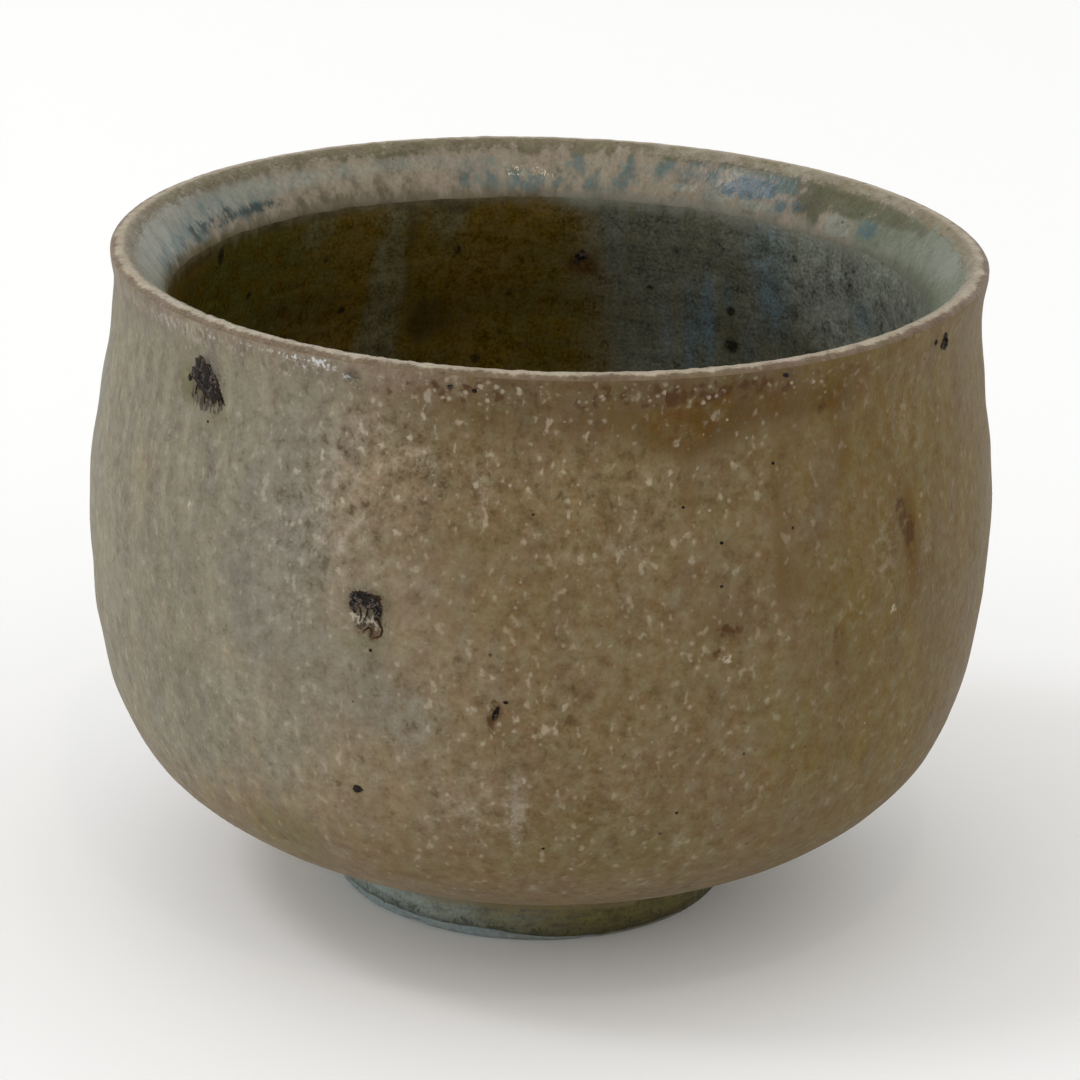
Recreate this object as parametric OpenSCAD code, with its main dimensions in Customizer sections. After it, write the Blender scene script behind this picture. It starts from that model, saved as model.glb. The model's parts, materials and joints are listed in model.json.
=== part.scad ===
// Small hand-thrown stoneware drinking cup with an ash glaze, standing on a turned foot ring.
// Z is up, the cup's axis is Z, and the face it stands on is z = 0.
// The outline given here is the finished one, over the glaze; the clay lies one glaze coat inside it.

/* [Bowl] */
// Diameter across the belly, over the glaze
belly_d = 66; // [60:1:76]
// Height of the belly's widest line
belly_z = 30.5; // [26:0.5:35]
// Height of the lip's crest
cup_h = 48.6; // [44:0.2:60]
// Clay and glaze together at the belly
wall = 4; // [3:0.25:5.5]
// Clay and glaze together under the middle of the well
floor_t = 3; // [2.4:0.1:5]
// Slope of the underside where it leaves the foot, in degrees
underside_angle = 24.6; // [16:0.2:34]

/* [Neck and lip] */
// How far the neck draws in from the belly, over the glaze
neck_inset = 1.9; // [0.8:0.05:3.4]
// How far the neck's narrowest line lies under the lip's crest
neck_drop = 2.65; // [2:0.05:4]
// How far the lip's outer edge stands out past the neck
lip_flare = 0.32; // [0.1:0.02:1]
// Thickness of the lip, from its outer edge to its inner edge
lip_t = 1.85; // [1.2:0.05:2.6]
// How far the lip's outer edge lies under its crest
lip_outer_drop = 0.35; // [0.2:0.05:0.8]
// How far the lip's inner edge lies under its crest
lip_inner_drop = 0.7; // [0.3:0.05:1.2]
// Wall at the throat, where the inside is narrowest
throat_wall = 3.85; // [3:0.05:4.6]
// How far the throat lies under the lip's crest
throat_drop = 4; // [3:0.1:6]

/* [Foot] */
// Diameter of the foot ring, over its glaze
foot_d = 29.8; // [24:0.2:36]
// Height of the foot ring
foot_h = 3.3; // [2.4:0.1:5]
// Width of the foot ring at its lower end
foot_wall = 3.7; // [3:0.1:5]
// How much wider the foot ring is at its upper end, on its inner side
foot_draft = 0.6; // [0:0.1:1.2]
// Rounding of the foot ring's lower edges
foot_round = 0.5; // [0.2:0.05:0.8]
// Height of the bare clay band that the potter wiped clean
foot_bare_h = 0.85; // [0.8:0.05:1.6]

/* [Glaze] */
// Coat on the outside of the bowl
outer_glaze_t = 0.4; // [0.2:0.05:0.7]
// Coat left on the lip
lip_glaze_t = 0.2; // [0.1:0.05:0.35]
// How much thicker the coat is in the middle of the band above the throat
neck_glaze_swell = 0.4; // [0.1:0.05:0.6]
// Coat inside the bowl
well_glaze_t = 0.45; // [0.2:0.05:0.8]
// Coat pooled in the middle of the well
pool_glaze_t = 0.9; // [0.5:0.05:1.2]
// Coat on the foot ring's outside
foot_glaze_t = 0.2; // [0.1:0.05:0.4]

/* [Iron spots] */
// Diameter of the largest iron spot
spot_d = 2.8; // [2:0.1:3.4]

/* [Hidden] */
$fn = 120;

// How far a cutting rod runs past what it cuts
overrun = 1;

// Curve handles, as shares of the height or the width that each one spans
underside_share = 0.746;
belly_low_share = 0.788;
belly_high_share = 0.22;
neck_low_share = 0.245;
neck_high_share = 0.3;
lip_side_share = 0.35;
lip_round_share = 0.55;
crest_share = 0.5;
bevel_share = 0.3;
lip_bevel_share = 0.05;
throat_up_share = 0.3;
throat_down_share = 0.3;
well_high_share = 0.32;
well_low_share = 0.79;
well_floor_share = 0.67;
// Where along the outside the coat starts to thin towards the lip
outer_fade_share = 0.93;

// Iron spots: azimuth from the front towards +X in degrees, share of the cup's height, share of spot_d
outer_spots_shares = [
    [-46.7, 0.915, 1], [-19.8, 0.652, 0.93], [-21.6, 0.376, 0.4], [-4.4, 0.527, 0.36],
    [22.1, 0.759, 0.5], [31.75, 0.763, 0.38], [17.3, 0.813, 0.36], [60.7, 0.93, 0.36]
];
inner_spots_shares = [[174.4, 0.817, 0.7]];

// Segments of each stretch of the outline
low_steps = 18;
high_steps = 9;
flare_steps = 4;
lip_steps = 4;
neck_steps = 6;
well_high_steps = 8;
well_low_steps = 16;
round_steps = 4;

belly_r = belly_d / 2;
neck_r = belly_r - neck_inset;
neck_z = cup_h - neck_drop;
lip_r = neck_r + lip_flare;
lip_edge_z = cup_h - lip_outer_drop;
lip_in_r = lip_r - lip_t;
lip_in_z = cup_h - lip_inner_drop;
crest_r = lip_r - lip_t * crest_share;
throat_r = neck_r - throat_wall;
throat_z = cup_h - throat_drop;
well_r = belly_r - wall;
floor_z = foot_h + floor_t;
foot_r = foot_d / 2;
foot_clay_r = foot_r - foot_glaze_t;
foot_in_r = foot_clay_r - foot_wall;

// A cubic curve from a to d with handles b and c
function curve(a, b, c, d, steps) = [
    for (i = [0:steps])
        let (t = i / steps, s = 1 - t)
        a * s * s * s + 3 * b * s * s * t + 3 * c * s * t * t + d * t * t * t
];
function rest_of(points) = [for (i = [1:len(points) - 1]) points[i]];
function reversed(points) = [for (i = [len(points) - 1:-1:0]) points[i]];
function stretch(points, first, last) = [for (i = [first:last]) points[i]];
function ease(u) = u * u * (3 - 2 * u);
function past(u, from) = max(0, (u - from) / (1 - from));

// The finished outline, in stretches, from the foot up the outside, over the lip and down to the floor
low_face = curve(
    [foot_r, foot_h],
    [foot_r, foot_h] + (belly_r - foot_r) * underside_share * [cos(underside_angle), sin(underside_angle)],
    [belly_r, belly_z - (belly_z - foot_h) * belly_low_share],
    [belly_r, belly_z],
    low_steps
);
high_face = curve(
    [belly_r, belly_z],
    [belly_r, belly_z + (neck_z - belly_z) * belly_high_share],
    [neck_r, neck_z - (neck_z - belly_z) * neck_low_share],
    [neck_r, neck_z],
    high_steps
);
flare_face = curve(
    [neck_r, neck_z],
    [neck_r, neck_z + (lip_edge_z - neck_z) * neck_high_share],
    [lip_r, lip_edge_z - (lip_edge_z - neck_z) * lip_side_share],
    [lip_r, lip_edge_z],
    flare_steps
);
lip_out_face = curve(
    [lip_r, lip_edge_z],
    [lip_r, lip_edge_z + lip_outer_drop * lip_round_share],
    [crest_r + (lip_r - crest_r) * lip_round_share, cup_h],
    [crest_r, cup_h],
    lip_steps
);
lip_in_face = curve(
    [crest_r, cup_h],
    [crest_r - (crest_r - lip_in_r) * lip_round_share, cup_h],
    [lip_in_r, lip_in_z] + ([lip_in_r, lip_in_z] - [throat_r, throat_z]) * lip_bevel_share,
    [lip_in_r, lip_in_z],
    lip_steps
);
neck_face = curve(
    [lip_in_r, lip_in_z],
    [lip_in_r, lip_in_z] + ([throat_r, throat_z] - [lip_in_r, lip_in_z]) * bevel_share,
    [throat_r, throat_z + (lip_in_z - throat_z) * throat_up_share],
    [throat_r, throat_z],
    neck_steps
);
well_high_face = curve(
    [throat_r, throat_z],
    [throat_r, throat_z - (throat_z - belly_z) * throat_down_share],
    [well_r, belly_z + (throat_z - belly_z) * well_high_share],
    [well_r, belly_z],
    well_high_steps
);
well_low_face = curve(
    [well_r, belly_z],
    [well_r, belly_z - (belly_z - floor_z) * well_low_share],
    [well_r * well_floor_share, floor_z],
    [0, floor_z],
    well_low_steps
);
face = concat(
    low_face,
    rest_of(high_face),
    rest_of(flare_face),
    rest_of(lip_out_face),
    rest_of(lip_in_face),
    rest_of(neck_face),
    rest_of(well_high_face),
    rest_of(well_low_face)
);

// Where the coats meet along the outline
outer_end = low_steps + high_steps + flare_steps;
lip_end = outer_end + lip_steps + lip_steps;
neck_end = lip_end + neck_steps;
face_end = neck_end + well_high_steps + well_low_steps;

// Thickness of the coat at each point of the outline
function outer_coat(u) = outer_glaze_t + (lip_glaze_t - outer_glaze_t) * ease(past(u, outer_fade_share));
function neck_coat(u) = lip_glaze_t + (well_glaze_t - lip_glaze_t) * u + neck_glaze_swell * sin(180 * u);
function well_coat(u) = well_glaze_t + (pool_glaze_t - well_glaze_t) * ease(u);
function coat(i) =
    i <= outer_end ? outer_coat(i / outer_end) :
    i <= lip_end ? lip_glaze_t :
    i <= neck_end ? neck_coat((i - lip_end) / (neck_end - lip_end)) :
    well_coat((i - neck_end) / (face_end - neck_end));

// The clay lies one coat under the finished outline, square to it
function along(i) = face[min(i + 1, face_end)] - face[max(i - 1, 0)];
function outwards(i) = [along(i).y, -along(i).x] / norm(along(i));
clay = [
    for (i = [0:face_end])
        i == 0 ? [foot_clay_r, foot_h] :
        i == face_end ? [0, floor_z - pool_glaze_t] :
        face[i] - coat(i) * outwards(i)
];

// One coat of glaze, between two places along the outline
module glaze_coat(first, last) {
    rotate_extrude()
        polygon(concat(stretch(face, first, last), reversed(stretch(clay, first, last))));
}

// Rods through the wall that mark where the iron spots lie, from one radius to another
module spot_rods(spots, from_r, to_r) {
    for (spot = spots)
        rotate([0, 0, spot[0]])
            translate([0, -from_r, cup_h * spot[1]])
                rotate([90, 0, 0])
                    cylinder(h = to_r - from_r, d = spot_d * spot[2]);
}

module outer_spot_rods() {
    spot_rods(outer_spots_shares, neck_r - wall / 2, max(belly_r, lip_r) + overrun);
}

module inner_spot_rods() {
    spot_rods(inner_spots_shares, throat_r / 2, well_r + wall / 2);
}

// A quarter round of the foot ring's edge, about a centre, from one angle to the next
function foot_edge(centre, from_angle) = [
    for (i = [0:round_steps])
        let (angle = from_angle + 90 * i / round_steps)
        centre + foot_round * [cos(angle), sin(angle)]
];

module clay_bowl() {
    color("#8f8a80")
        rotate_extrude()
            polygon(concat([[0, foot_h]], clay));
}

module foot_ring() {
    color("#8b9292")
        rotate_extrude()
            polygon(concat(
                [[foot_in_r - foot_draft, foot_h]],
                foot_edge([foot_in_r + foot_round, foot_round], 180),
                foot_edge([foot_clay_r - foot_round, foot_round], 270),
                [[foot_clay_r, foot_h]]
            ));
}

module outer_glaze() {
    color("#77694d")
        difference() {
            glaze_coat(0, outer_end);
            outer_spot_rods();
        }
}

module lip_glaze() {
    color("#9a8a74")
        glaze_coat(outer_end, lip_end);
}

module neck_glaze() {
    color("#8fb0ab")
        glaze_coat(lip_end, neck_end);
}

module well_glaze() {
    color("#2f3128")
        difference() {
            glaze_coat(neck_end, face_end);
            inner_spot_rods();
        }
}

module foot_glaze() {
    color("#4f5048")
        rotate_extrude()
            polygon([
                [foot_clay_r, foot_bare_h],
                [foot_r, foot_bare_h + foot_glaze_t],
                [foot_r, foot_h],
                [foot_clay_r, foot_h]
            ]);
}

module iron_spots() {
    color("#1d1712") {
        intersection() {
            glaze_coat(0, outer_end);
            outer_spot_rods();
        }
        intersection() {
            glaze_coat(neck_end, face_end);
            inner_spot_rods();
        }
    }
}

clay_bowl();
foot_ring();
outer_glaze();
lip_glaze();
neck_glaze();
well_glaze();
foot_glaze();
iron_spots();
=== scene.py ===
# A hand-thrown guinomi in stoneware under an ash glaze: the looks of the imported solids.
import json
import math
import bpy
import numpy as np
from mathutils import Matrix, Vector

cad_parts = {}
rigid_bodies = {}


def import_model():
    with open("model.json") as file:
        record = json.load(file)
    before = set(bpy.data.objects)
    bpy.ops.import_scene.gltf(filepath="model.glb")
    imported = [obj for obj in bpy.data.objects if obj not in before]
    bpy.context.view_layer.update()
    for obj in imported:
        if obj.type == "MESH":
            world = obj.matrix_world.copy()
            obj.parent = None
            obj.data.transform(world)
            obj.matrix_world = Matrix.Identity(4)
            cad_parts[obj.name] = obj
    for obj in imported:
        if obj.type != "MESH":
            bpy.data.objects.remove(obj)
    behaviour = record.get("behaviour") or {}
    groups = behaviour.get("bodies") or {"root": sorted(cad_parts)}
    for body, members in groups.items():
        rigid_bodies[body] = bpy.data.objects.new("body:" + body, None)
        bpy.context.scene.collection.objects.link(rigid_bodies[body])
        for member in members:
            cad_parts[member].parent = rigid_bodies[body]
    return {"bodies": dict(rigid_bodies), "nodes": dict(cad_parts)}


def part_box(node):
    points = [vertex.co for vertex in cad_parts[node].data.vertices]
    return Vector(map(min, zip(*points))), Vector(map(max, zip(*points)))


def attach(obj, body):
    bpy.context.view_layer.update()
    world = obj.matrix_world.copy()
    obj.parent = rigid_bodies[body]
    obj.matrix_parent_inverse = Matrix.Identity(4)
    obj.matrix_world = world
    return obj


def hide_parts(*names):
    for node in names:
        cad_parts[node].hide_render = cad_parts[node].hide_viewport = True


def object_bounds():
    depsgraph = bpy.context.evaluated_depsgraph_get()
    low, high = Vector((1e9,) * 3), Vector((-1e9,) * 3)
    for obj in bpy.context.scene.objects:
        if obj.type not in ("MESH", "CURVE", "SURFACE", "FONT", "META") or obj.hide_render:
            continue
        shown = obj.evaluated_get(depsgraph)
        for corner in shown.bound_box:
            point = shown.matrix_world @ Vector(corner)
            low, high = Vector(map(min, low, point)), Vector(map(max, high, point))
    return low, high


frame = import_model()
cadBox = [list(corner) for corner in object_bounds()]

mm = 0.001
cupHigh = cadBox[1][2]
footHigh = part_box("foot_ring")[1].z
body = next(iter(frame["bodies"]))
print("frame loaded:", len(frame["nodes"]), "nodes on", body)


def tint(code):
    # sRGB hex to the linear colour that a socket takes
    parts = [int(code[i:i + 2], 16) / 255 for i in (1, 3, 5)]
    return tuple(((c + 0.055) / 1.055) ** 2.4 if c > 0.04045 else c / 12.92 for c in parts) + (1.0,)


def add(tree, kind, settings=None, links=None, out=0):
    # one node with its settings, its socket values and its links; gives back one of its outputs
    made = tree.nodes.new(kind)
    for name, value in (settings or {}).items():
        if name == "ramp":
            stops = made.color_ramp.elements
            while len(stops) < len(value):
                stops.new(0.5)
            for stop, (place, code) in zip(stops, value):
                stop.position = place
                stop.color = tint(code)
        else:
            setattr(made, name, value)
    for socket, source in (links or {}).items():
        if isinstance(source, bpy.types.NodeSocket):
            tree.links.new(source, made.inputs[socket])
        else:
            made.inputs[socket].default_value = source
    return made.outputs[out]


# The true outline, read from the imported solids

def meshPoints(nodeName):
    mesh = frame["nodes"][nodeName].data
    co = np.empty(len(mesh.vertices) * 3, np.float32)
    mesh.vertices.foreach_get("co", co)
    return co.reshape(-1, 3).astype(float)


def ringsOf(nodeName):
    # radius and height of each ring of vertices round the axis
    co = meshPoints(nodeName)
    rings = np.column_stack([np.hypot(co[:, 0], co[:, 1]), co[:, 2]])
    keys = np.round(rings / (0.02 * mm)).astype(int)
    first, counts = np.unique(keys, axis=0, return_index=True, return_counts=True)[1:]
    return rings[first[counts >= 30]]


clayRings = ringsOf("clay_bowl")


def finishedOutline(nodeName, order):
    # the rings of a coat that lie on its air side, in the order of the outline
    rings = ringsOf(nodeName)
    apart = np.array([np.hypot(*(clayRings - ring).T).min() for ring in rings])
    rings = rings[apart > 0.06 * mm]
    return rings[np.argsort(order(rings))]


wall = {
    "segments": 560,  # round the cup
    "outerStep": 0.37 * mm,  # between rows
    "lipStep": 0.13 * mm,
    "neckStep": 0.2 * mm,
    "wellStep": 0.42 * mm,
    "footStep": 0.12 * mm,
    "bodySmooth": 0.7 * mm,  # rounds off the solid's flats
    "lipSmooth": 0.1 * mm,
    "footSmooth": 0.4 * mm,  # the soft inside corner where glaze pools over the foot
    "oval": 0.15 * mm,  # how far the rim is out of round
    "lean": 0.2 * mm,  # how far the rim sits off the axis, to the right
    "rimWave": 0.16 * mm,  # how far the rim waves up and down
    "ridgeDepth": 0.07 * mm,  # the potter's fingers
    "ridgeGap": 5.5 * mm,
    "peelDepth": 0.06 * mm,  # the orange peel of a matt ash glaze
    "peelSize": 1.5 * mm,
    "runDepth": 0.07 * mm,  # upright thickenings where glaze ran
    "runGap": 2.2 * mm,
    "seed": 7,
    "raggedFoot": 0.2 * mm,  # how far the glaze edge over the foot strays up and down
    "edgeDrop": 0.45 * mm,  # how much further down it runs on the right
    "raggedCrease": 0.3 * mm,
    "notchedRim": 0.035 * mm,
    "rimRise": (66, 24, 0.3 * mm),  # the near right of the rim rises: azimuth, half width in degrees, how far
    # how far along the wall each of these reaches
    "edgeReach": 2.0 * mm, "creaseReach": 1.1 * mm, "rimReach": 0.7 * mm,
    "reliefFromFoot": 3 * mm, "reliefFromLip": 2.5 * mm, "reliefFromPole": 6 * mm,
    "footBead": (0.16 * mm, 0.05 * mm, 0.3 * mm),  # how the glaze edge rounds off: out, up, and up to full
    # azimuth from the front, height, half width and half height in mm, depth in mm
    "dents": [
        (-27, 37.2, 0.55, 0.8, -0.09), (-25.2, 38.4, 0.5, 0.5, 0.06), (-28.6, 35.6, 0.5, 0.9, -0.08),
        (-24.6, 36.0, 0.6, 0.5, -0.06), (-26.4, 40.1, 0.5, 0.5, -0.06), (-30.6, 38.2, 0.6, 1.1, 0.05),
        (-33.2, 33.0, 0.5, 1.3, -0.09), (-32.0, 31.0, 0.5, 0.8, 0.05), (-15.6, 43.3, 1.1, 0.5, -0.08),
        (-14.6, 42.2, 1.2, 0.6, 0.07), (-52.6, 21.0, 0.6, 0.9, -0.09), (-51.6, 20.1, 0.7, 0.8, 0.06),
        (-21.6, 18.2, 0.6, 0.5, -0.16), (-21.4, 12.8, 0.5, 1.2, -0.08), (-20.0, 30.4, 1.2, 1.1, -0.1),
        (-46.9, 44.3, 1.9, 1.5, -0.05), (-4.4, 25.4, 0.45, 0.9, -0.1), (50.2, 35.6, 0.7, 1.7, -0.09),
        (47.0, 34.8, 0.8, 2.6, 0.05), (54.0, 33.6, 0.7, 2.2, 0.05), (22.6, 30.6, 1.3, 0.6, -0.09),
        (23.6, 29.2, 0.6, 0.5, 0.08), (38.4, 28.4, 0.4, 1.4, -0.07), (30.0, 41.6, 0.8, 0.6, -0.07),
        (-62, 30, 0.7, 5.0, 0.05), (-57, 26, 0.6, 4.0, -0.04), (-66, 37, 0.6, 5.0, -0.04),
        (140, 33, 1.1, 2.2, -0.09), (118, 22, 0.9, 0.8, 0.08), (-128, 27, 1.0, 1.0, -0.1),
        (170, 41, 1.4, 0.8, -0.08), (-160, 18, 1.0, 1.4, 0.07), (97, 40, 0.8, 2.4, -0.06),
    ],
}

footOutline = ringsOf("foot_glaze")
footClayR = footOutline[:, 0].min()
footR = footOutline[:, 0].max()
bareHigh = footOutline[:, 1].min()
beadOut, beadUp, beadFull = wall["footBead"]
footEdge = [[footClayR, bareHigh], [footClayR + beadOut, bareHigh + beadUp], [footR, bareHigh + beadFull]]
wellMesh = meshPoints("well_glaze")
poolFloor = wellMesh[np.hypot(wellMesh[:, 0], wellMesh[:, 1]) < 0.05 * mm, 2].max()
coatNames = ["foot_glaze", "outer_glaze", "lip_glaze", "neck_glaze", "well_glaze"]
stretches = [
    np.array(footEdge + [[footR, footHigh]]),
    finishedOutline("outer_glaze", lambda p: p[:, 1]),
    finishedOutline("lip_glaze", lambda p: -p[:, 0]),
    finishedOutline("neck_glaze", lambda p: -p[:, 1]),
    np.vstack([finishedOutline("well_glaze", lambda p: -p[:, 1] * 1000 - p[:, 0]), [0, poolFloor]]),
]


def lengthAlong(points):
    return np.concatenate([[0], np.cumsum(np.hypot(*np.diff(points, axis=0).T))])


def buildRows():
    # the outline as rows: radius, height, facing, how far along, which coat, and where the coats meet
    joined = [stretches[0][0]]
    bounds = [0.0]
    for points in stretches:
        for point in points:
            if np.hypot(*(point - joined[-1])) > 0.02 * mm:
                joined.append(point)
        bounds.append(lengthAlong(np.array(joined))[-1])
    joined = np.array(joined)
    along = lengthAlong(joined)
    fine = np.linspace(0, along[-1], int(along[-1] / (0.08 * mm)))
    raw = np.column_stack([np.interp(fine, along, joined[:, k]) for k in (0, 1)])
    fromLip = np.maximum(0, np.abs(fine - (bounds[2] + bounds[3]) / 2) - 1.4 * mm)
    fromFoot = np.maximum(0, np.abs(fine - bounds[1]) - 0.8 * mm)
    spread = np.minimum(wall["bodySmooth"], wall["lipSmooth"] + 0.3 * fromLip)
    spread = np.minimum(spread, wall["footSmooth"] + 0.3 * fromFoot)
    spread = np.minimum(spread, 0.02 * mm + 0.4 * fine)
    weights = np.exp(-0.5 * ((fine[:, None] - fine[None]) / spread[:, None]) ** 2)
    # mirrored past the pole, so that the floor stays flat there
    mirror = np.exp(-0.5 * ((fine[:, None] - (2 * fine[-1] - fine[None])) / spread[:, None]) ** 2)
    total = (weights + mirror).sum(1)
    smooth = np.column_stack([(weights - mirror) @ raw[:, 0] / total, (weights + mirror) @ raw[:, 1] / total])
    places, coats = [], []
    for k, step in enumerate(wall[s] for s in ("footStep", "outerStep", "lipStep", "neckStep", "wellStep")):
        count = max(2, round((bounds[k + 1] - bounds[k]) / step))
        places += list(np.linspace(bounds[k], bounds[k + 1], count, endpoint=False))
        coats += [k] * count
    places = np.array(places + [bounds[-1]])
    coats = np.array(coats + [coats[-1]])
    rows = np.column_stack([np.interp(places, fine, smooth[:, k]) for k in (0, 1)])
    slope = np.column_stack([np.interp(places, fine, np.gradient(smooth[:, k], fine)) for k in (0, 1)])
    slope /= np.hypot(*slope.T)[:, None]
    facing = np.column_stack([slope[:, 1], -slope[:, 0]])
    rows[-1, 0] = 0
    facing[-1] = [0, 1]
    return rows, facing, places, coats, bounds


rows, facing, places, coats, bounds = buildRows()
around = wall["segments"]
turns = np.arange(around) / around * 2 * math.pi - math.pi  # 0 faces the viewer
lipMiddle = (bounds[2] + bounds[3]) / 2
print("outline:", len(rows), "rows of", around, "points")


def turned(radius, height, angle):
    return np.stack([radius * np.sin(angle), -radius * np.cos(angle), height + 0 * angle], -1)


def gridFaces(count, around, first=0):
    # quads between the rows of a grid that closes on itself
    row, col = np.meshgrid(np.arange(count - 1) * around, np.arange(around), indexing="ij")
    nextRow, nextCol = row + around, (col + 1) % around
    quads = [row + col, row + nextCol, nextRow + nextCol, nextRow + col]
    return np.stack(quads, -1).reshape(-1, 4) + first


def meshFrom(name, points, quads, triangles=(), smooth=True):
    mesh = bpy.data.meshes.new(name)
    quads = np.asarray(quads, int).reshape(-1, 4)
    triangles = np.asarray(triangles, int).reshape(-1, 3)
    loops = np.concatenate([quads.ravel(), triangles.ravel()])
    sizes = np.array([4] * len(quads) + [3] * len(triangles))
    mesh.vertices.add(len(points))
    mesh.vertices.foreach_set("co", np.asarray(points, np.float32).ravel())
    mesh.loops.add(len(loops))
    mesh.loops.foreach_set("vertex_index", loops.astype(np.int32))
    mesh.polygons.add(len(sizes))
    mesh.polygons.foreach_set("loop_start", np.concatenate([[0], np.cumsum(sizes)[:-1]]).astype(np.int32))
    mesh.polygons.foreach_set("use_smooth", np.full(len(sizes), smooth))
    mesh.update(calc_edges=True)
    mesh.validate()
    return mesh


def setValues(mesh, name, values, kind="FLOAT"):
    layer = mesh.attributes.new(name, kind, "POINT")
    key = "vector" if kind == "FLOAT_VECTOR" else "value"
    layer.data.foreach_set(key, np.asarray(values, np.float32).ravel())


def placeObject(name, mesh):
    made = bpy.data.objects.new(name, mesh)
    bpy.context.scene.collection.objects.link(made)
    return made


angleGrid, radiusGrid = np.meshgrid(turns, rows[:, 0])
heightGrid = np.repeat(rows[:, 1:2], around, 1)
facingGrid = turned(np.repeat(facing[:, 0:1], around, 1), np.repeat(facing[:, 1:2], around, 1), angleGrid)


def zoneField(zones):
    # soft patches added up over the whole wall: azimuth, height, half width, half height, strength
    total = np.zeros_like(angleGrid)
    for azimuth, height, wide, high, strength in zones:
        turn = (np.degrees(angleGrid) - azimuth + 180) % 360 - 180
        sideways = np.radians(turn) * np.maximum(radiusGrid, 12 * mm) / (wide * mm)
        upward = (heightGrid - height * mm) / (high * mm)
        total += strength * np.exp(-0.7 * (sideways ** 2 + upward ** 2) ** 1.3)
    return total


def smoothStep(values, low, high):
    share = np.clip((values - low) / (high - low), 0, 1)
    return share * share * (3 - 2 * share)


# Geometry Nodes: a true turned wall becomes a hand-thrown one

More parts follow.
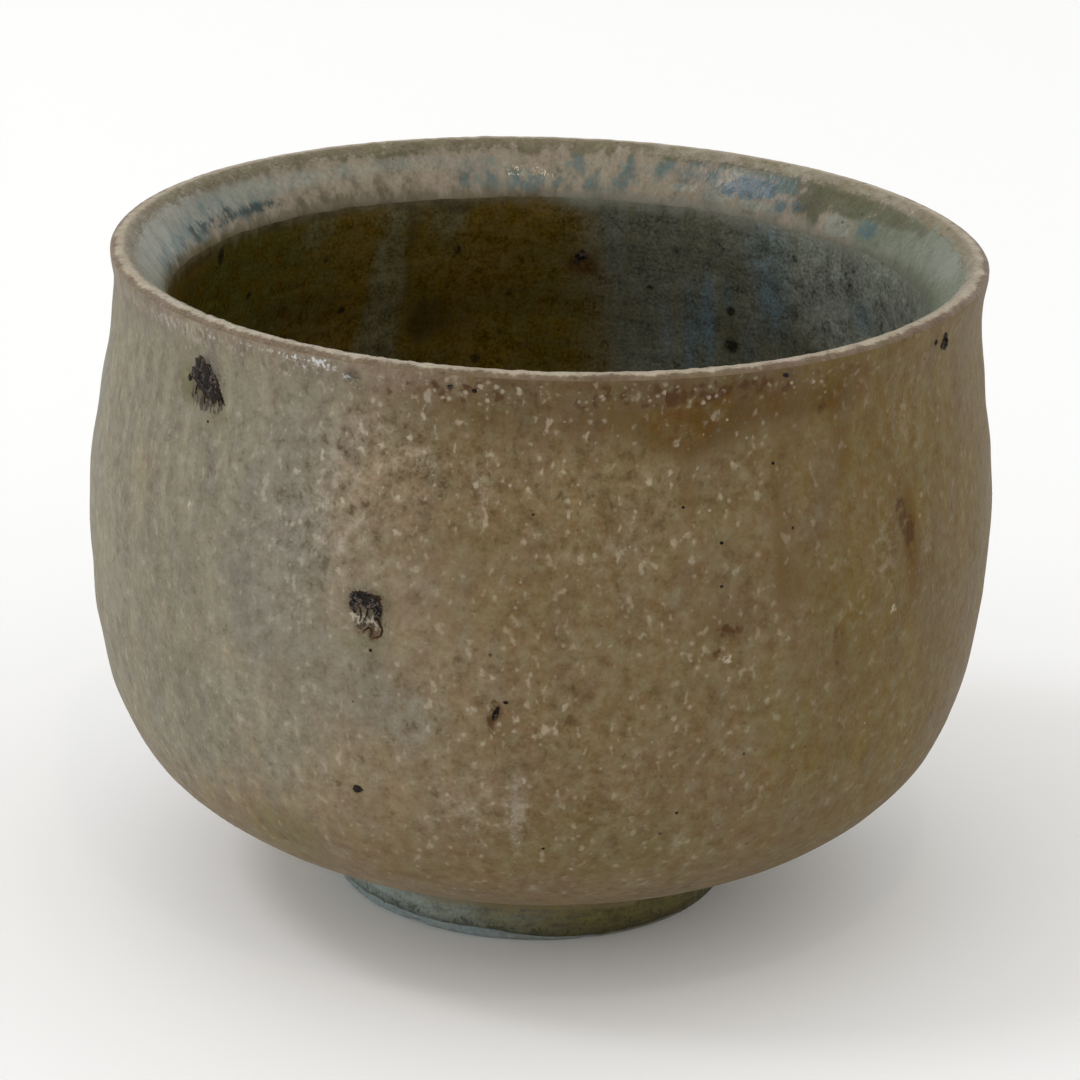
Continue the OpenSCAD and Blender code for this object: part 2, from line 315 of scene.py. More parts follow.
def throwTree():
    tree = bpy.data.node_groups.new("handThrown", "GeometryNodeTree")
    face = tree.interface
    face.new_socket("Wall", in_out="INPUT", socket_type="NodeSocketGeometry")
    for name in ("Oval", "Lean", "Rim Wave", "Ridge Depth", "Ridge Gap", "Peel Depth", "Peel Size",
                 "Run Depth", "Run Gap", "High"):
        face.new_socket(name, in_out="INPUT", socket_type="NodeSocketFloat")
    face.new_socket("Seed", in_out="INPUT", socket_type="NodeSocketInt")
    face.new_socket("Glaze", in_out="INPUT", socket_type="NodeSocketMaterial")
    face.new_socket("Wall", in_out="OUTPUT", socket_type="NodeSocketGeometry")
    given = tree.nodes.new("NodeGroupInput").outputs
    place = add(tree, "GeometryNodeInputPosition")
    x = add(tree, "ShaderNodeSeparateXYZ", links={0: place})
    y, z = x.node.outputs[1:]
    away = add(tree, "ShaderNodeMath", {"operation": "MULTIPLY"}, {0: y, 1: -1.0})
    angle = add(tree, "ShaderNodeMath", {"operation": "ARCTAN2"}, {0: x, 1: away})
    share = add(tree, "ShaderNodeMath", {"operation": "DIVIDE"}, {0: z, 1: given["High"]})
    flat = add(tree, "ShaderNodeCombineXYZ", links={"X": x, "Y": y, "Z": 0.0})
    outward = add(tree, "ShaderNodeVectorMath", {"operation": "NORMALIZE"}, {0: flat})
    seedShift = add(tree, "ShaderNodeMath", {"operation": "MULTIPLY"}, {0: given["Seed"], 1: 3.17})

    # out of round: one wave round the cup leans it, two make it oval, and both fade below the neck
    lift = add(tree, "ShaderNodeMath", {"operation": "POWER"}, {0: share, 1: 2.8})
    waves = []
    for count, turn, part in ((1, -math.pi / 2, given["Lean"]), (2, math.pi, given["Oval"])):
        phase = add(tree, "ShaderNodeMath", {"operation": "MULTIPLY_ADD"},
                    {0: angle, 1: float(count), 2: turn})
        wave = add(tree, "ShaderNodeMath", {"operation": "COSINE"}, {0: phase})
        waves.append(add(tree, "ShaderNodeMath", {"operation": "MULTIPLY"}, {0: wave, 1: part}))
    oval = add(tree, "ShaderNodeMath", {"operation": "ADD"}, {0: waves[0], 1: waves[1]})
    oval = add(tree, "ShaderNodeMath", {"operation": "MULTIPLY"}, {0: oval, 1: lift})
    ovalMove = add(tree, "ShaderNodeVectorMath", {"operation": "SCALE"}, {0: outward, "Scale": oval})

    # the rim rises and dips
    rim = add(tree, "ShaderNodeTexNoise", {"noise_dimensions": "4D"},
              {"Vector": outward, "W": seedShift, "Scale": 1.3, "Detail": 1.0})
    rim = add(tree, "ShaderNodeMath", {"operation": "SUBTRACT"}, {0: rim, 1: 0.5})
    rim = add(tree, "ShaderNodeMath", {"operation": "MULTIPLY"}, {0: rim, 1: given["Rim Wave"]})
    rimLift = add(tree, "ShaderNodeMath", {"operation": "POWER"}, {0: share, 1: 4.0})
    rim = add(tree, "ShaderNodeMath", {"operation": "MULTIPLY"}, {0: rim, 1: rimLift})
    rimMove = add(tree, "ShaderNodeCombineXYZ", links={"X": 0.0, "Y": 0.0, "Z": rim})

    # throwing ridges: a slow spiral of rises, uneven in height
    climb = add(tree, "ShaderNodeMath", {"operation": "DIVIDE"}, {0: z, 1: given["Ridge Gap"]})
    turnsUp = add(tree, "ShaderNodeMath", {"operation": "MULTIPLY_ADD"},
                  {0: angle, 1: -0.5 / math.pi, 2: climb})
    ridge = add(tree, "ShaderNodeMath", {"operation": "MULTIPLY"}, {0: turnsUp, 1: 2 * math.pi})
    ridge = add(tree, "ShaderNodeMath", {"operation": "SINE"}, {0: ridge})
    firm = add(tree, "ShaderNodeTexNoise", {"noise_dimensions": "4D"},
               {"Vector": place, "W": seedShift, "Scale": 70.0, "Detail": 2.0})
    firm = add(tree, "ShaderNodeMapRange", {"clamp": True},
               {"Value": firm, "From Min": 0.35, "From Max": 0.7, "To Min": 0.1, "To Max": 1.0})
    ridge = add(tree, "ShaderNodeMath", {"operation": "MULTIPLY"}, {0: ridge, 1: firm})
    fine = add(tree, "ShaderNodeMath", {"operation": "MULTIPLY"}, {0: ridge, 1: given["Ridge Depth"]})

    # orange peel, and glaze runs stretched upright
    upright = add(tree, "ShaderNodeVectorMath", {"operation": "MULTIPLY"}, {0: place, 1: (1.0, 1.0, 0.09)})
    for where, size, depth, detail in (
            (place, "Peel Size", "Peel Depth", 2.5), (upright, "Run Gap", "Run Depth", 1.5)):
        scale = add(tree, "ShaderNodeMath", {"operation": "DIVIDE"}, {0: 1.0, 1: given[size]})
        bump = add(tree, "ShaderNodeTexNoise", {"noise_dimensions": "4D"},
                   {"Vector": where, "W": seedShift, "Scale": scale, "Detail": detail, "Roughness": 0.55})
        bump = add(tree, "ShaderNodeMath", {"operation": "SUBTRACT"}, {0: bump, 1: 0.5})
        fine = add(tree, "ShaderNodeMath", {"operation": "MULTIPLY_ADD"}, {0: bump, 1: given[depth], 2: fine})

    # "relief" says how much of the fine work a row takes, "dent" is what single marks add
    relief = add(tree, "GeometryNodeInputNamedAttribute", {"data_type": "FLOAT"}, {"Name": "relief"})
    dent = add(tree, "GeometryNodeInputNamedAttribute", {"data_type": "FLOAT"}, {"Name": "dent"})
    outFacing = add(tree, "GeometryNodeInputNamedAttribute",
                    {"data_type": "FLOAT_VECTOR"}, {"Name": "facing"})
    fine = add(tree, "ShaderNodeMath", {"operation": "MULTIPLY_ADD"}, {0: fine, 1: relief, 2: dent})
    fineMove = add(tree, "ShaderNodeVectorMath", {"operation": "SCALE"}, {0: outFacing, "Scale": fine})
    move = add(tree, "ShaderNodeVectorMath", {"operation": "ADD"}, {0: ovalMove, 1: rimMove})
    move = add(tree, "ShaderNodeVectorMath", {"operation": "ADD"}, {0: move, 1: fineMove})
    moved = add(tree, "GeometryNodeSetPosition", links={"Geometry": given["Wall"], "Offset": move})
    real = add(tree, "GeometryNodeRealizeInstances", links={"Geometry": moved})
    glazed = add(tree, "GeometryNodeSetMaterial", links={"Geometry": real, "Material": given["Glaze"]})
    tree.links.new(glazed, tree.nodes.new("NodeGroupOutput").inputs[0])
    return tree


def runTree(made, tree, values):
    # sets the modifier's inputs by identifier, evaluates it, and gives back a plain mesh
    change = made.modifiers.new(tree.name, "NODES")
    change.node_group = tree
    names = {s.name: s.identifier for s in tree.interface.items_tree if s.in_out == "INPUT"}
    for name, value in values.items():
        change[names[name]] = value
    bpy.context.view_layer.update()
    baked = bpy.data.meshes.new_from_object(made.evaluated_get(bpy.context.evaluated_depsgraph_get()))
    made.modifiers.remove(change)
    return baked


# Materials: each starts from its shader's own constants, then patterns in real millimetres

def startMaterial(name, finish):
    # a material with its shader's own constants; also gives back the place that its patterns read
    made = bpy.data.materials.new(name)
    made.use_nodes = True
    tree = made.node_tree
    shader = tree.nodes["Principled BSDF"]
    shader.inputs["IOR"].default_value = 1.5
    for socket, value in (("Roughness", "roughness"), ("Specular IOR Level", "gloss")):
        shader.inputs[socket].default_value = finish[value]
    return made, tree, shader, add(tree, "ShaderNodeTexCoord", out="Object")


def uneven(tree, where, size, detail=1.0, squeeze=None, crisp=0.62):
    # a cloudy field from about -1 to 1, with patches of one size, drawn out where squeeze is under 1
    if squeeze:
        where = add(tree, "ShaderNodeVectorMath", {"operation": "MULTIPLY"}, {0: where, 1: squeeze})
    cloud = add(tree, "ShaderNodeTexNoise", {},
                {"Vector": where, "Scale": 1 / size, "Detail": detail, "Roughness": crisp})
    return add(tree, "ShaderNodeMapRange", {"clamp": False},
               {"Value": cloud, "From Min": 0.25, "From Max": 0.75, "To Min": -1.0, "To Max": 1.0})


def ramped(tree, value, low, high, top=1.0):
    # 0 at low, top at high, with soft ends
    return add(tree, "ShaderNodeMapRange", {"interpolation_type": "SMOOTHSTEP"},
               {"Value": value, "From Min": low, "From Max": high, "To Max": top})


def cells(tree, where, gap):
    # points scattered a gap apart: how near one is in gaps, and two numbers drawn for each
    near = add(tree, "ShaderNodeTexVoronoi", {}, {"Vector": where, "Scale": 1 / gap}, "Distance")
    drawn = add(tree, "ShaderNodeSeparateColor", links={"Color": near.node.outputs["Color"]})
    return near, drawn, drawn.node.outputs[1]


def fleck(tree, near, chance, size, start, full, soft=0.5):
    # round flecks: none where the number drawn is start, size gaps across where it is full
    reach = add(tree, "ShaderNodeMapRange", {},
                {"Value": chance, "From Min": start, "From Max": full, "To Max": size / 2})
    inside = add(tree, "ShaderNodeMath", {"operation": "SUBTRACT"}, {0: reach, 1: near})
    return ramped(tree, inside, 0.0, soft * size / 2)


def tally(tree, start, terms):
    # start plus each field times its weight
    for source, weight in terms:
        start = add(tree, "ShaderNodeMath", {"operation": "MULTIPLY_ADD"}, {0: source, 1: weight, 2: start})
    return start


def patch(tree, name, ragged, low=0.3, high=0.7, top=1.0):
    # a painted field as a mask whose edge follows the fields in ragged; nothing where none is painted
    zone = add(tree, "ShaderNodeAttribute", {"attribute_name": name}, out="Fac")
    wild = add(tree, "ShaderNodeMath", {"operation": "MULTIPLY"}, {0: zone, 1: tally(tree, 1.0, ragged)})
    return ramped(tree, wild, low, high, top)


def layOver(tree, colour, layers):
    # colours laid over one another: each layer is a mask, its strength and a hex colour or a socket
    for mask, strength, code in layers:
        upper = tint(code) if isinstance(code, str) else code
        share = add(tree, "ShaderNodeMath",
                    {"operation": "MULTIPLY", "use_clamp": True}, {0: mask, 1: strength})
        colour = add(tree, "ShaderNodeMix", {"data_type": "RGBA"}, {0: share, 6: colour, 7: upper}, 2)
    return colour


def mottled(tree, colour, light, hue=(), strong=()):
    # shifts a colour by fields and weights: how light it is, its hue, and how strong
    return add(tree, "ShaderNodeHueSaturation", links={
        "Color": colour, "Value": tally(tree, 1.0, light), "Hue": tally(tree, 0.5, hue),
        "Saturation": tally(tree, 1.0, strong)})


def finishOff(tree, shader, colour, rough, height, deep):
    # joins the colour, the roughness and the relief too small for the mesh, of a full depth in metres
    tree.links.new(colour, shader.inputs["Base Color"])
    tree.links.new(rough, shader.inputs["Roughness"])
    tree.links.new(add(tree, "ShaderNodeBump", links={"Height": height, "Distance": deep, "Strength": 1.0}),
                   shader.inputs["Normal"])


# Stoneware fired in reduction: blue-grey, dry, with fine grit and turning lines
clayFinish = {
    "warm": "#716c5f", "cool": "#7f8c8b", "grit": "#38362f", "sand": "#a09d91",
    "roughness": 0.78, "gloss": 0.3,
}


def clayLook():
    finish = clayFinish
    made, tree, shader, place = startMaterial("bareStoneware", finish)
    broad = uneven(tree, place, 5 * mm, 2)
    fine = uneven(tree, place, 0.3 * mm, 1)
    lines = uneven(tree, place, 0.9 * mm, 2, (0.35, 0.35, 3.0))
    side = tally(tree, 0.5, [(add(tree, "ShaderNodeSeparateXYZ", links={0: place}), 36.0), (broad, 0.25)])
    ramp = [(0.2, finish["cool"]), (0.85, finish["warm"])]
    colour = add(tree, "ShaderNodeValToRGB", {"ramp": ramp}, {"Fac": side})
    near, first, second = cells(tree, place, 0.7 * mm)
    grit = fleck(tree, near, first, 0.5, 0.5, 1.0)
    sand = fleck(tree, near, second, 0.7, 0.65, 1.0)
    colour = mottled(tree, colour, [(fine, 0.16), (lines, 0.12), (broad, 0.08)])
    colour = layOver(tree, colour, [(sand, 0.5, finish["sand"]), (grit, 0.7, finish["grit"])])
    height = tally(tree, 0.5, [(fine, 0.3), (lines, 0.2), (grit, -0.4)])
    finishOff(tree, shader, colour, tally(tree, finish["roughness"], [(fine, 0.06)]), height, 0.05 * mm)
    return made


# Matt to satin ash glaze over stoneware: a soft cloudy tan-grey with cream specks, streaked where it ran
ashFinish = {
    "cool": "#7a7462", "middle": "#7b6c54", "warm": "#6c5b3e", "lavender": "#736d60", "amber": "#553d12",
    "olive": "#65532d", "moss": "#5f5a30", "milky": "#8d8271", "cream": "#b3a892", "iron": "#231a12",
    "rust": "#432709", "brown": "#4b3a24", "char": "#191511", "underLip": "#59482e",
    # the pale bluish white just below the left front of the lip is a painted glint, where the lamp's
    # reflection lies
    "frost": "#c3c6c4", "blush": "#7a6b5b",
    "roughness": 0.55, "gloss": 0.16,
    "mottleSize": 1.15 * mm, "hueSize": 0.95 * mm, "streakWidth": 1.3 * mm, "grainSize": 0.24 * mm,
    "curdleSize": 0.55 * mm,
    # azimuth, height, half width, half height in mm, strength
    "zones": {
        "warmth": [(10, 40, 12, 9, 0.55), (28, 40, 14, 14, 0.8), (36, 24, 16, 12, 0.85),
                   (12, 20, 14, 9, 0.6), (0, 12, 30, 5, 0.5), (58, 32, 11, 14, 0.72),
                   (74, 26, 8, 16, 0.45), (-12, 40, 7, 7, 0.5), (120, 30, 20, 16, 0.5),
                   (178, 36, 22, 10, 0.75), (-150, 20, 14, 12, 0.5), (-10, 26, 10, 10, 0.3),
                   (2, 45, 12, 3.5, 0.4)],
        "busy": [(2, 42, 14, 4.5, 0.7), (-26, 37, 5, 6, 0.6), (-10, 20, 12, 7, 0.35),
                 (14, 30, 10, 8, 0.25), (-18, 42, 5, 4, 0.5), (-4, 26, 5, 4, 0.3), (160, 38, 14, 8, 0.6),
                 (-120, 24, 12, 8, 0.5)],
        "lavender": [(-33, 36, 3.5, 7, 0.75), (-36, 32, 2.5, 5, 0.6), (-24, 27, 5, 4, 0.55),
                     (-14, 24, 3, 2.5, 0.4), (39, 16, 5, 3, 0.3), (-22, 44, 6, 3, 0.4),
                     (-20, 36, 4, 3, 0.3), (130, 38, 6, 6, 0.7), (-140, 33, 5, 8, 0.7),
                     (200, 18, 7, 4, 0.5)],
        "amber": [(19, 44.7, 3.2, 1.7, 1.1), (34, 45.4, 3.6, 1.0, 0.5), (39.5, 42.5, 0.9, 3.4, 0.5),
                  (30, 39.5, 0.8, 4.2, 0.45), (31, 33.6, 1.8, 2.2, 0.45), (22.5, 31.5, 2.2, 1.5, 0.5),
                  (18, 40.5, 0.9, 2.6, 0.4), (51, 35.5, 0.9, 2.6, 0.8), (52, 31, 1.1, 2.6, 0.5),
                  (40, 46.6, 2.6, 1.5, 0.7), (-3.5, 24.6, 1.2, 2.2, 0.4), (26, 46.6, 3.2, 1.4, 0.75),
                  (8, 45.6, 3.5, 1.4, 0.45), (39, 28, 0.7, 2.0, 0.5), (160, 44, 5, 2, 0.8),
                  (172, 36, 3, 5, 0.6), (-120, 44, 3, 2, 0.5)],
        "moss": [(-50.6, 43.6, 1.5, 1.4, 0.55), (-44.8, 42.4, 1.6, 2.2, 0.45),
                 (-17.9, 32.6, 1.3, 1.1, 0.45), (-19.8, 29.4, 1.8, 1.3, 0.5), (-34, 12.5, 4.5, 3, 0.5),
                 (10, 15, 8, 4, 0.45), (32, 24, 4, 4, 0.35), (34, 41, 3.6, 5, 0.2), (-48, 24, 4, 6, 0.25),
                 (60, 46, 2.5, 1.4, 0.4), (36, 31, 1.6, 2.5, 0.35), (150, 14, 8, 3, 0.5),
                 (-50.5, 43.6, 1.4, 1.2, 0.4)],
        "milky": [(-26, 37.5, 2.6, 3.6, 0.45), (-15, 42, 2.2, 1.1, 0.6), (-29, 31, 1.4, 1.2, 0.45),
                  (-42, 25, 3, 5, 0.3), (-33, 24, 2.5, 3, 0.3), (-8, 18, 3, 3, 0.4),
                  (46.5, 34, 0.9, 3.4, 0.5), (54.5, 33, 0.8, 2.4, 0.45), (52, 42, 3, 3, 0.3),
                  (-68, 30, 4, 10, 0.25), (8, 36, 5, 4, 0.25), (-170, 28, 4, 4, 0.5),
                  (-1.5, 17.5, 0.6, 3.6, 0.6), (12.5, 20.5, 0.5, 3.4, 0.5), (-7, 40.5, 0.7, 2.0, 0.5),
                  (19, 14.5, 0.6, 2.4, 0.45), (-58, 22, 0.8, 3.5, 0.4)],
        "pores": [(31, 17, 4.2, 4.0, 1.0), (28, 21, 3.0, 2.6, 0.7), (33, 12.5, 4.5, 2.2, 0.6),
                  (-142, 16, 4, 4, 0.8)],
        "beads": [(-60, 47.3, 9, 0.8, 0.4), (-36, 47.3, 9, 0.9, 0.8), (-8, 47.1, 12, 0.8, 0.8),
                  (16, 47.1, 9, 0.8, 0.8), (40, 47.2, 10, 0.8, 0.4), (150, 47, 20, 0.8, 0.6),
                  (-120, 47, 20, 0.8, 0.6)],
        "wet": [(-36, 47.5, 7.5, 0.8, 1.0), (-27, 47.2, 5, 1.0, 1.0), (-50, 47.3, 5, 0.6, 0.7)],
        # where the painted glint lies: small pale patches just under the left front of the lip
        "frost": [(-27.3, 47.8, 0.7, 0.3, 1.0), (-29.8, 47.85, 0.9, 0.25, 0.9),
                  (-25.4, 47.5, 0.6, 0.3, 0.85), (-32.5, 47.85, 0.9, 0.2, 0.7),
                  (-36.5, 47.85, 1.2, 0.3, 0.85), (-40.5, 47.8, 0.9, 0.3, 0.75),
                  (-24.2, 47.0, 0.5, 0.3, 0.6), (-31.5, 47.3, 1.6, 0.4, 0.5),
                  (-44.5, 47.6, 0.9, 0.4, 0.5)],
        "scorch": [(-8.5, 47.3, 1.2, 0.4, 0.7), (9, 47.1, 1.4, 0.4, 0.6), (12.5, 46.8, 0.9, 0.5, 0.7),
                   (18.5, 47.2, 1.8, 0.6, 0.9), (16.4, 46.8, 0.6, 0.5, 0.8), (2, 47.1, 1.2, 0.35, 0.5),
                   (25, 47.4, 1.4, 0.5, 0.6), (38, 45.6, 1.4, 0.8, 0.5), (-14, 47.5, 1.0, 0.35, 0.5),
                   (-1.5, 46.3, 1.0, 0.5, 0.4), (21.5, 46.9, 0.6, 0.5, 0.8)],
        "char": [(-46.9, 44.4, 1.9, 1.6, 0.85), (-47.2, 43.1, 1.4, 0.5, 0.5),
                 (-41.6, 41.8, 0.3, 2.4, 0.42), (-40.9, 39.6, 0.3, 1.8, 0.36),
                 (-20.1, 32.2, 1.6, 1.1, 0.9), (-19.7, 31.0, 0.9, 0.7, 0.5), (-23.8, 47.2, 0.7, 0.6, 0.8),
                 (-21.6, 18.2, 0.6, 0.5, 0.6), (-30.9, 35.2, 0.4, 0.4, 0.7)],
        "drips": [(-47.4, 42.9, 1.5, 0.7, 1.0), (-45.2, 42.9, 1.0, 0.6, 0.9),
                  (-20.5, 31.0, 0.9, 0.7, 0.9), (-18.6, 30.9, 0.6, 0.7, 0.8)],
        "rust": [(-19.5, 30.4, 1.1, 0.9, 0.75), (-4.5, 25.4, 0.5, 1.0, 0.85), (-5.6, 24.2, 0.7, 0.7, 0.4),
                 (49.6, 36.5, 0.6, 1.2, 0.85), (50.9, 34.9, 0.6, 1.1, 0.95), (51.4, 33.0, 0.5, 1.6, 0.5),
                 (23.0, 30.9, 0.9, 0.5, 0.95), (21.4, 29.3, 0.5, 0.5, 0.75),
                 (38.4, 29.0, 0.45, 1.0, 0.65), (38.6, 27.1, 0.4, 0.6, 0.5), (-15.5, 43.5, 1.0, 0.6, 0.6),
                 (30.1, 41.9, 0.8, 0.7, 0.6), (29.4, 39.5, 0.4, 0.4, 0.6), (50.1, 38.5, 0.4, 0.4, 0.6),
                 (60.9, 38.1, 0.4, 0.5, 0.65), (36.2, 45.0, 0.7, 0.6, 0.65), (-50.2, 44.0, 0.6, 0.5, 0.6),
                 (16.6, 13.9, 0.8, 0.4, 0.55), (47.2, 31.7, 0.4, 0.4, 0.5), (25.8, 23.8, 0.5, 0.4, 0.5),
                 (2.5, 22, 0.6, 0.5, 0.4)],
        "creamy": [(-21.7, 31.1, 0.58, 0.52, 1), (-19.6, 31.1, 0.65, 0.52, 0.8),
                   (-18.6, 30.2, 0.52, 0.72, 0.7), (-47.1, 35.7, 0.43, 0.43, 1),
                   (22.8, 28.9, 0.58, 0.43, 0.8), (22.2, 43, 0.72, 0.43, 0.4), (-4, 24, 0.51, 0.51, 0.7),
                   (47.8, 29.7, 0.43, 0.43, 0.8), (31, 29.9, 0.52, 0.43, 0.6),
                   (43.6, 41.2, 0.72, 0.58, 0.5)],
    },
}


def ashLook():
    finish = ashFinish
    made, tree, shader, place = startMaterial("ashGlazeOverStoneware", finish)
    mottle = uneven(tree, place, finish["mottleSize"], 3, crisp=0.8)
    hue = uneven(tree, place, finish["hueSize"], 2)
    broad = uneven(tree, place, 7 * mm, 1)
    streak = uneven(tree, place, finish["streakWidth"], 2, (1.0, 1.0, 0.26))
    wide = uneven(tree, place, 3.4 * mm, 1, (1.0, 1.0, 0.16))
    grain = uneven(tree, place, finish["grainSize"])
    curdle = uneven(tree, place, finish["curdleSize"], 0.6, (1.0, 1.0, 0.7))
    busy = add(tree, "ShaderNodeAttribute", {"attribute_name": "busy"}, out="Fac")
    streaky = add(tree, "ShaderNodeAttribute", {"attribute_name": "streaky"}, out="Fac")
    warmth = add(tree, "ShaderNodeAttribute", {"attribute_name": "warmth"}, out="Fac")

    warmth = tally(tree, warmth, [(broad, 0.14), (wide, 0.12), (mottle, 0.1)])
    ramp = [(0.0, finish["cool"]), (0.45, finish["middle"]), (1.0, finish["warm"])]
    colour = add(tree, "ShaderNodeValToRGB", {"ramp": ramp}, {"Fac": warmth})
    colour = layOver(tree, colour, [
        (patch(tree, "underLip", [(mottle, 0.5)], 0.1, 1.0), 0.9, finish["underLip"]),
        (patch(tree, "blush", [(mottle, 0.4), (hue, 0.3)], 0.1, 1.0), 0.6, finish["blush"]),
        (patch(tree, "oliveSide", [(wide, 0.3), (broad, 0.3)], 0.1, 0.9), 0.85, finish["olive"]),
        (patch(tree, "lavender", [(broad, 0.3), (mottle, 0.4), (streak, 0.15)], 0.1, 0.9), 0.85,
         finish["lavender"]),
        (patch(tree, "moss", [(broad, 0.2), (mottle, 0.4), (streak, 0.2)], 0.1, 0.9), 0.7, finish["moss"]),
        (patch(tree, "amber", [(wide, 0.2), (mottle, 0.6), (streak, 0.3), (hue, 0.3)], 0.1, 0.9), 0.9,
         finish["amber"]),
        (patch(tree, "milky", [(mottle, 0.7), (hue, 0.3), (grain, 0.3)], 0.15, 1.0), 0.6, finish["milky"]),
    ])
    lively = add(tree, "ShaderNodeMath", {"operation": "MULTIPLY"}, {0: mottle, 1: busy})
    lined = add(tree, "ShaderNodeMath", {"operation": "MULTIPLY"}, {0: streak, 1: streaky})
    colour = mottled(tree, colour,
                     [(lively, 0.34), (lined, 0.17), (wide, 0.07), (broad, 0.04), (hue, 0.09), (grain, 0.07)],
                     [(hue, 0.014), (broad, 0.004), (lined, 0.008)],
                     [(mottle, -0.14), (hue, -0.1), (streak, 0.06)])

    near, first, second = cells(tree, place, 1.05 * mm)
    near = tally(tree, near, [(curdle, 0.08), (grain, 0.05)])
    drift = add(tree, "ShaderNodeMath", {"operation": "MULTIPLY_ADD"}, {0: broad, 1: 0.4, 2: busy})
    specks = fleck(tree, near, first, 0.6, 0.35, 1.0, 0.8)
    stain = fleck(tree, near, second, 0.8, 0.5, 1.0, 1.0)
    far, third, fourth = cells(tree, place, 2.9 * mm)
    pin = fleck(tree, far, third, 0.12, 0.6, 0.9, 0.6)
    bloom = fleck(tree, far, fourth, 0.9, 0.3, 1.0, 1.0)
    smudge = ramped(tree, tally(tree, mottle, [(grain, 0.2), (hue, -0.2)]), -0.35, -1.1)
    curds = tally(tree, curdle, [(mottle, 0.5)])
    beaded = patch(tree, "beads", [(mottle, 0.5)], 0.2, 0.7)
    bead, fifth = cells(tree, place, 0.5 * mm)[:2]
    bead = tally(tree, bead, [(grain, 0.1), (curdle, 0.08)])
    beads = fleck(tree, bead, tally(tree, fifth, [(hue, 0.3)]), 1.1, 0.25, 1.0, 0.7)
    wetZone = add(tree, "ShaderNodeAttribute", {"attribute_name": "wet"}, out="Fac")
    # each kept to where a painted field is strong
    specks, smudge, curdPale, curdDark, beads, burnt, ripple = [
        add(tree, "ShaderNodeMath", {"operation": "MULTIPLY"}, {0: mask, 1: zone}) for mask, zone in (
            (specks, drift), (smudge, busy), (ramped(tree, curds, 0.5, 1.2), busy),
            (ramped(tree, curds, -0.55, -1.2), busy), (beads, beaded),
            (ramped(tree, curds, -0.15, -0.8), beaded), (curdle, wetZone))]
    burnt = add(tree, "ShaderNodeMath", {"operation": "MULTIPLY"},
                {0: burnt, 1: ramped(tree, warmth, 0.2, 0.55)})
    slanted = add(tree, "ShaderNodeVectorRotate",
                  {"rotation_type": "Y_AXIS"}, {"Vector": place, "Angle": 0.5})
    slanted = add(tree, "ShaderNodeVectorMath", {"operation": "MULTIPLY"}, {0: slanted, 1: (1.0, 1.0, 1.6)})
    hole, sixth = cells(tree, slanted, 0.68 * mm)[:2]
    hole = tally(tree, hole, [(grain, 0.07)])
    pores = fleck(tree, hole, sixth, 0.7, 0.15, 1.0, 0.8)
    pored = patch(tree, "pores", [(broad, 0.3), (mottle, 0.5)], 0.1, 0.7)
    char = patch(tree, "char", [(mottle, 0.5), (grain, 0.45)], 0.2, 0.9)
    thin = uneven(tree, place, 0.3 * mm, 1, (1.0, 1.0, 0.2))
    drips = patch(tree, "drips", [(thin, 1.5), (grain, 0.4)], 0.7, 1.5)
    colour = layOver(tree, colour, [
        (bloom, tally(tree, 0.12, [(mottle, 0.14), (hue, 0.08)]), finish["milky"]),
        (stain, tally(tree, 0.1, [(mottle, -0.12)]), finish["brown"]),
        (smudge, 0.34, finish["brown"]),
        (curdDark, 0.4, finish["brown"]),
        (curdPale, 0.36, finish["cream"]),
        (specks, 0.38, finish["cream"]),
        (pin, 0.8, finish["iron"]),
        (pores, pored, finish["brown"]),
        (patch(tree, "scorch", [(curdle, -1.1), (grain, 0.5), (hue, 0.6)], 0.3, 1.3), 0.75, finish["rust"]),
        (burnt, 0.7, finish["rust"]),
        (beads, 0.48, finish["cream"]),
        (patch(tree, "rust", [(curdle, -0.8), (grain, 0.6), (mottle, 0.4)], 0.25, 1.15), 0.85,
         finish["rust"]),
        (char, 0.6, finish["iron"]),
        (drips, 0.7, finish["char"]),
        (patch(tree, "creamy", [(grain, 0.8), (curdle, 0.9)], 0.5, 1.3), 0.65, finish["cream"]),
        # the painted glint: pale bluish-white patches under the left front of the lip
        (patch(tree, "frost", [(grain, 1.5), (curdle, 0.9)], 0.7, 1.7), 0.75, finish["frost"]),
    ])
    wet = patch(tree, "wet", [(curdle, 0.3), (grain, 0.3)], 0.35, 0.7)
    rough = tally(tree, finish["roughness"], [
        (beaded, -0.08), (wet, -0.42), (broad, 0.05), (grain, 0.05), (char, -0.14)])
    height = tally(tree, 0.5, [
        (grain, 0.16), (mottle, 0.3), (beads, 0.25), (specks, 0.15), (curdle, 0.1), (ripple, 0.6)])
    finishOff(tree, shader, colour, rough, height, 0.1 * mm)
    return made


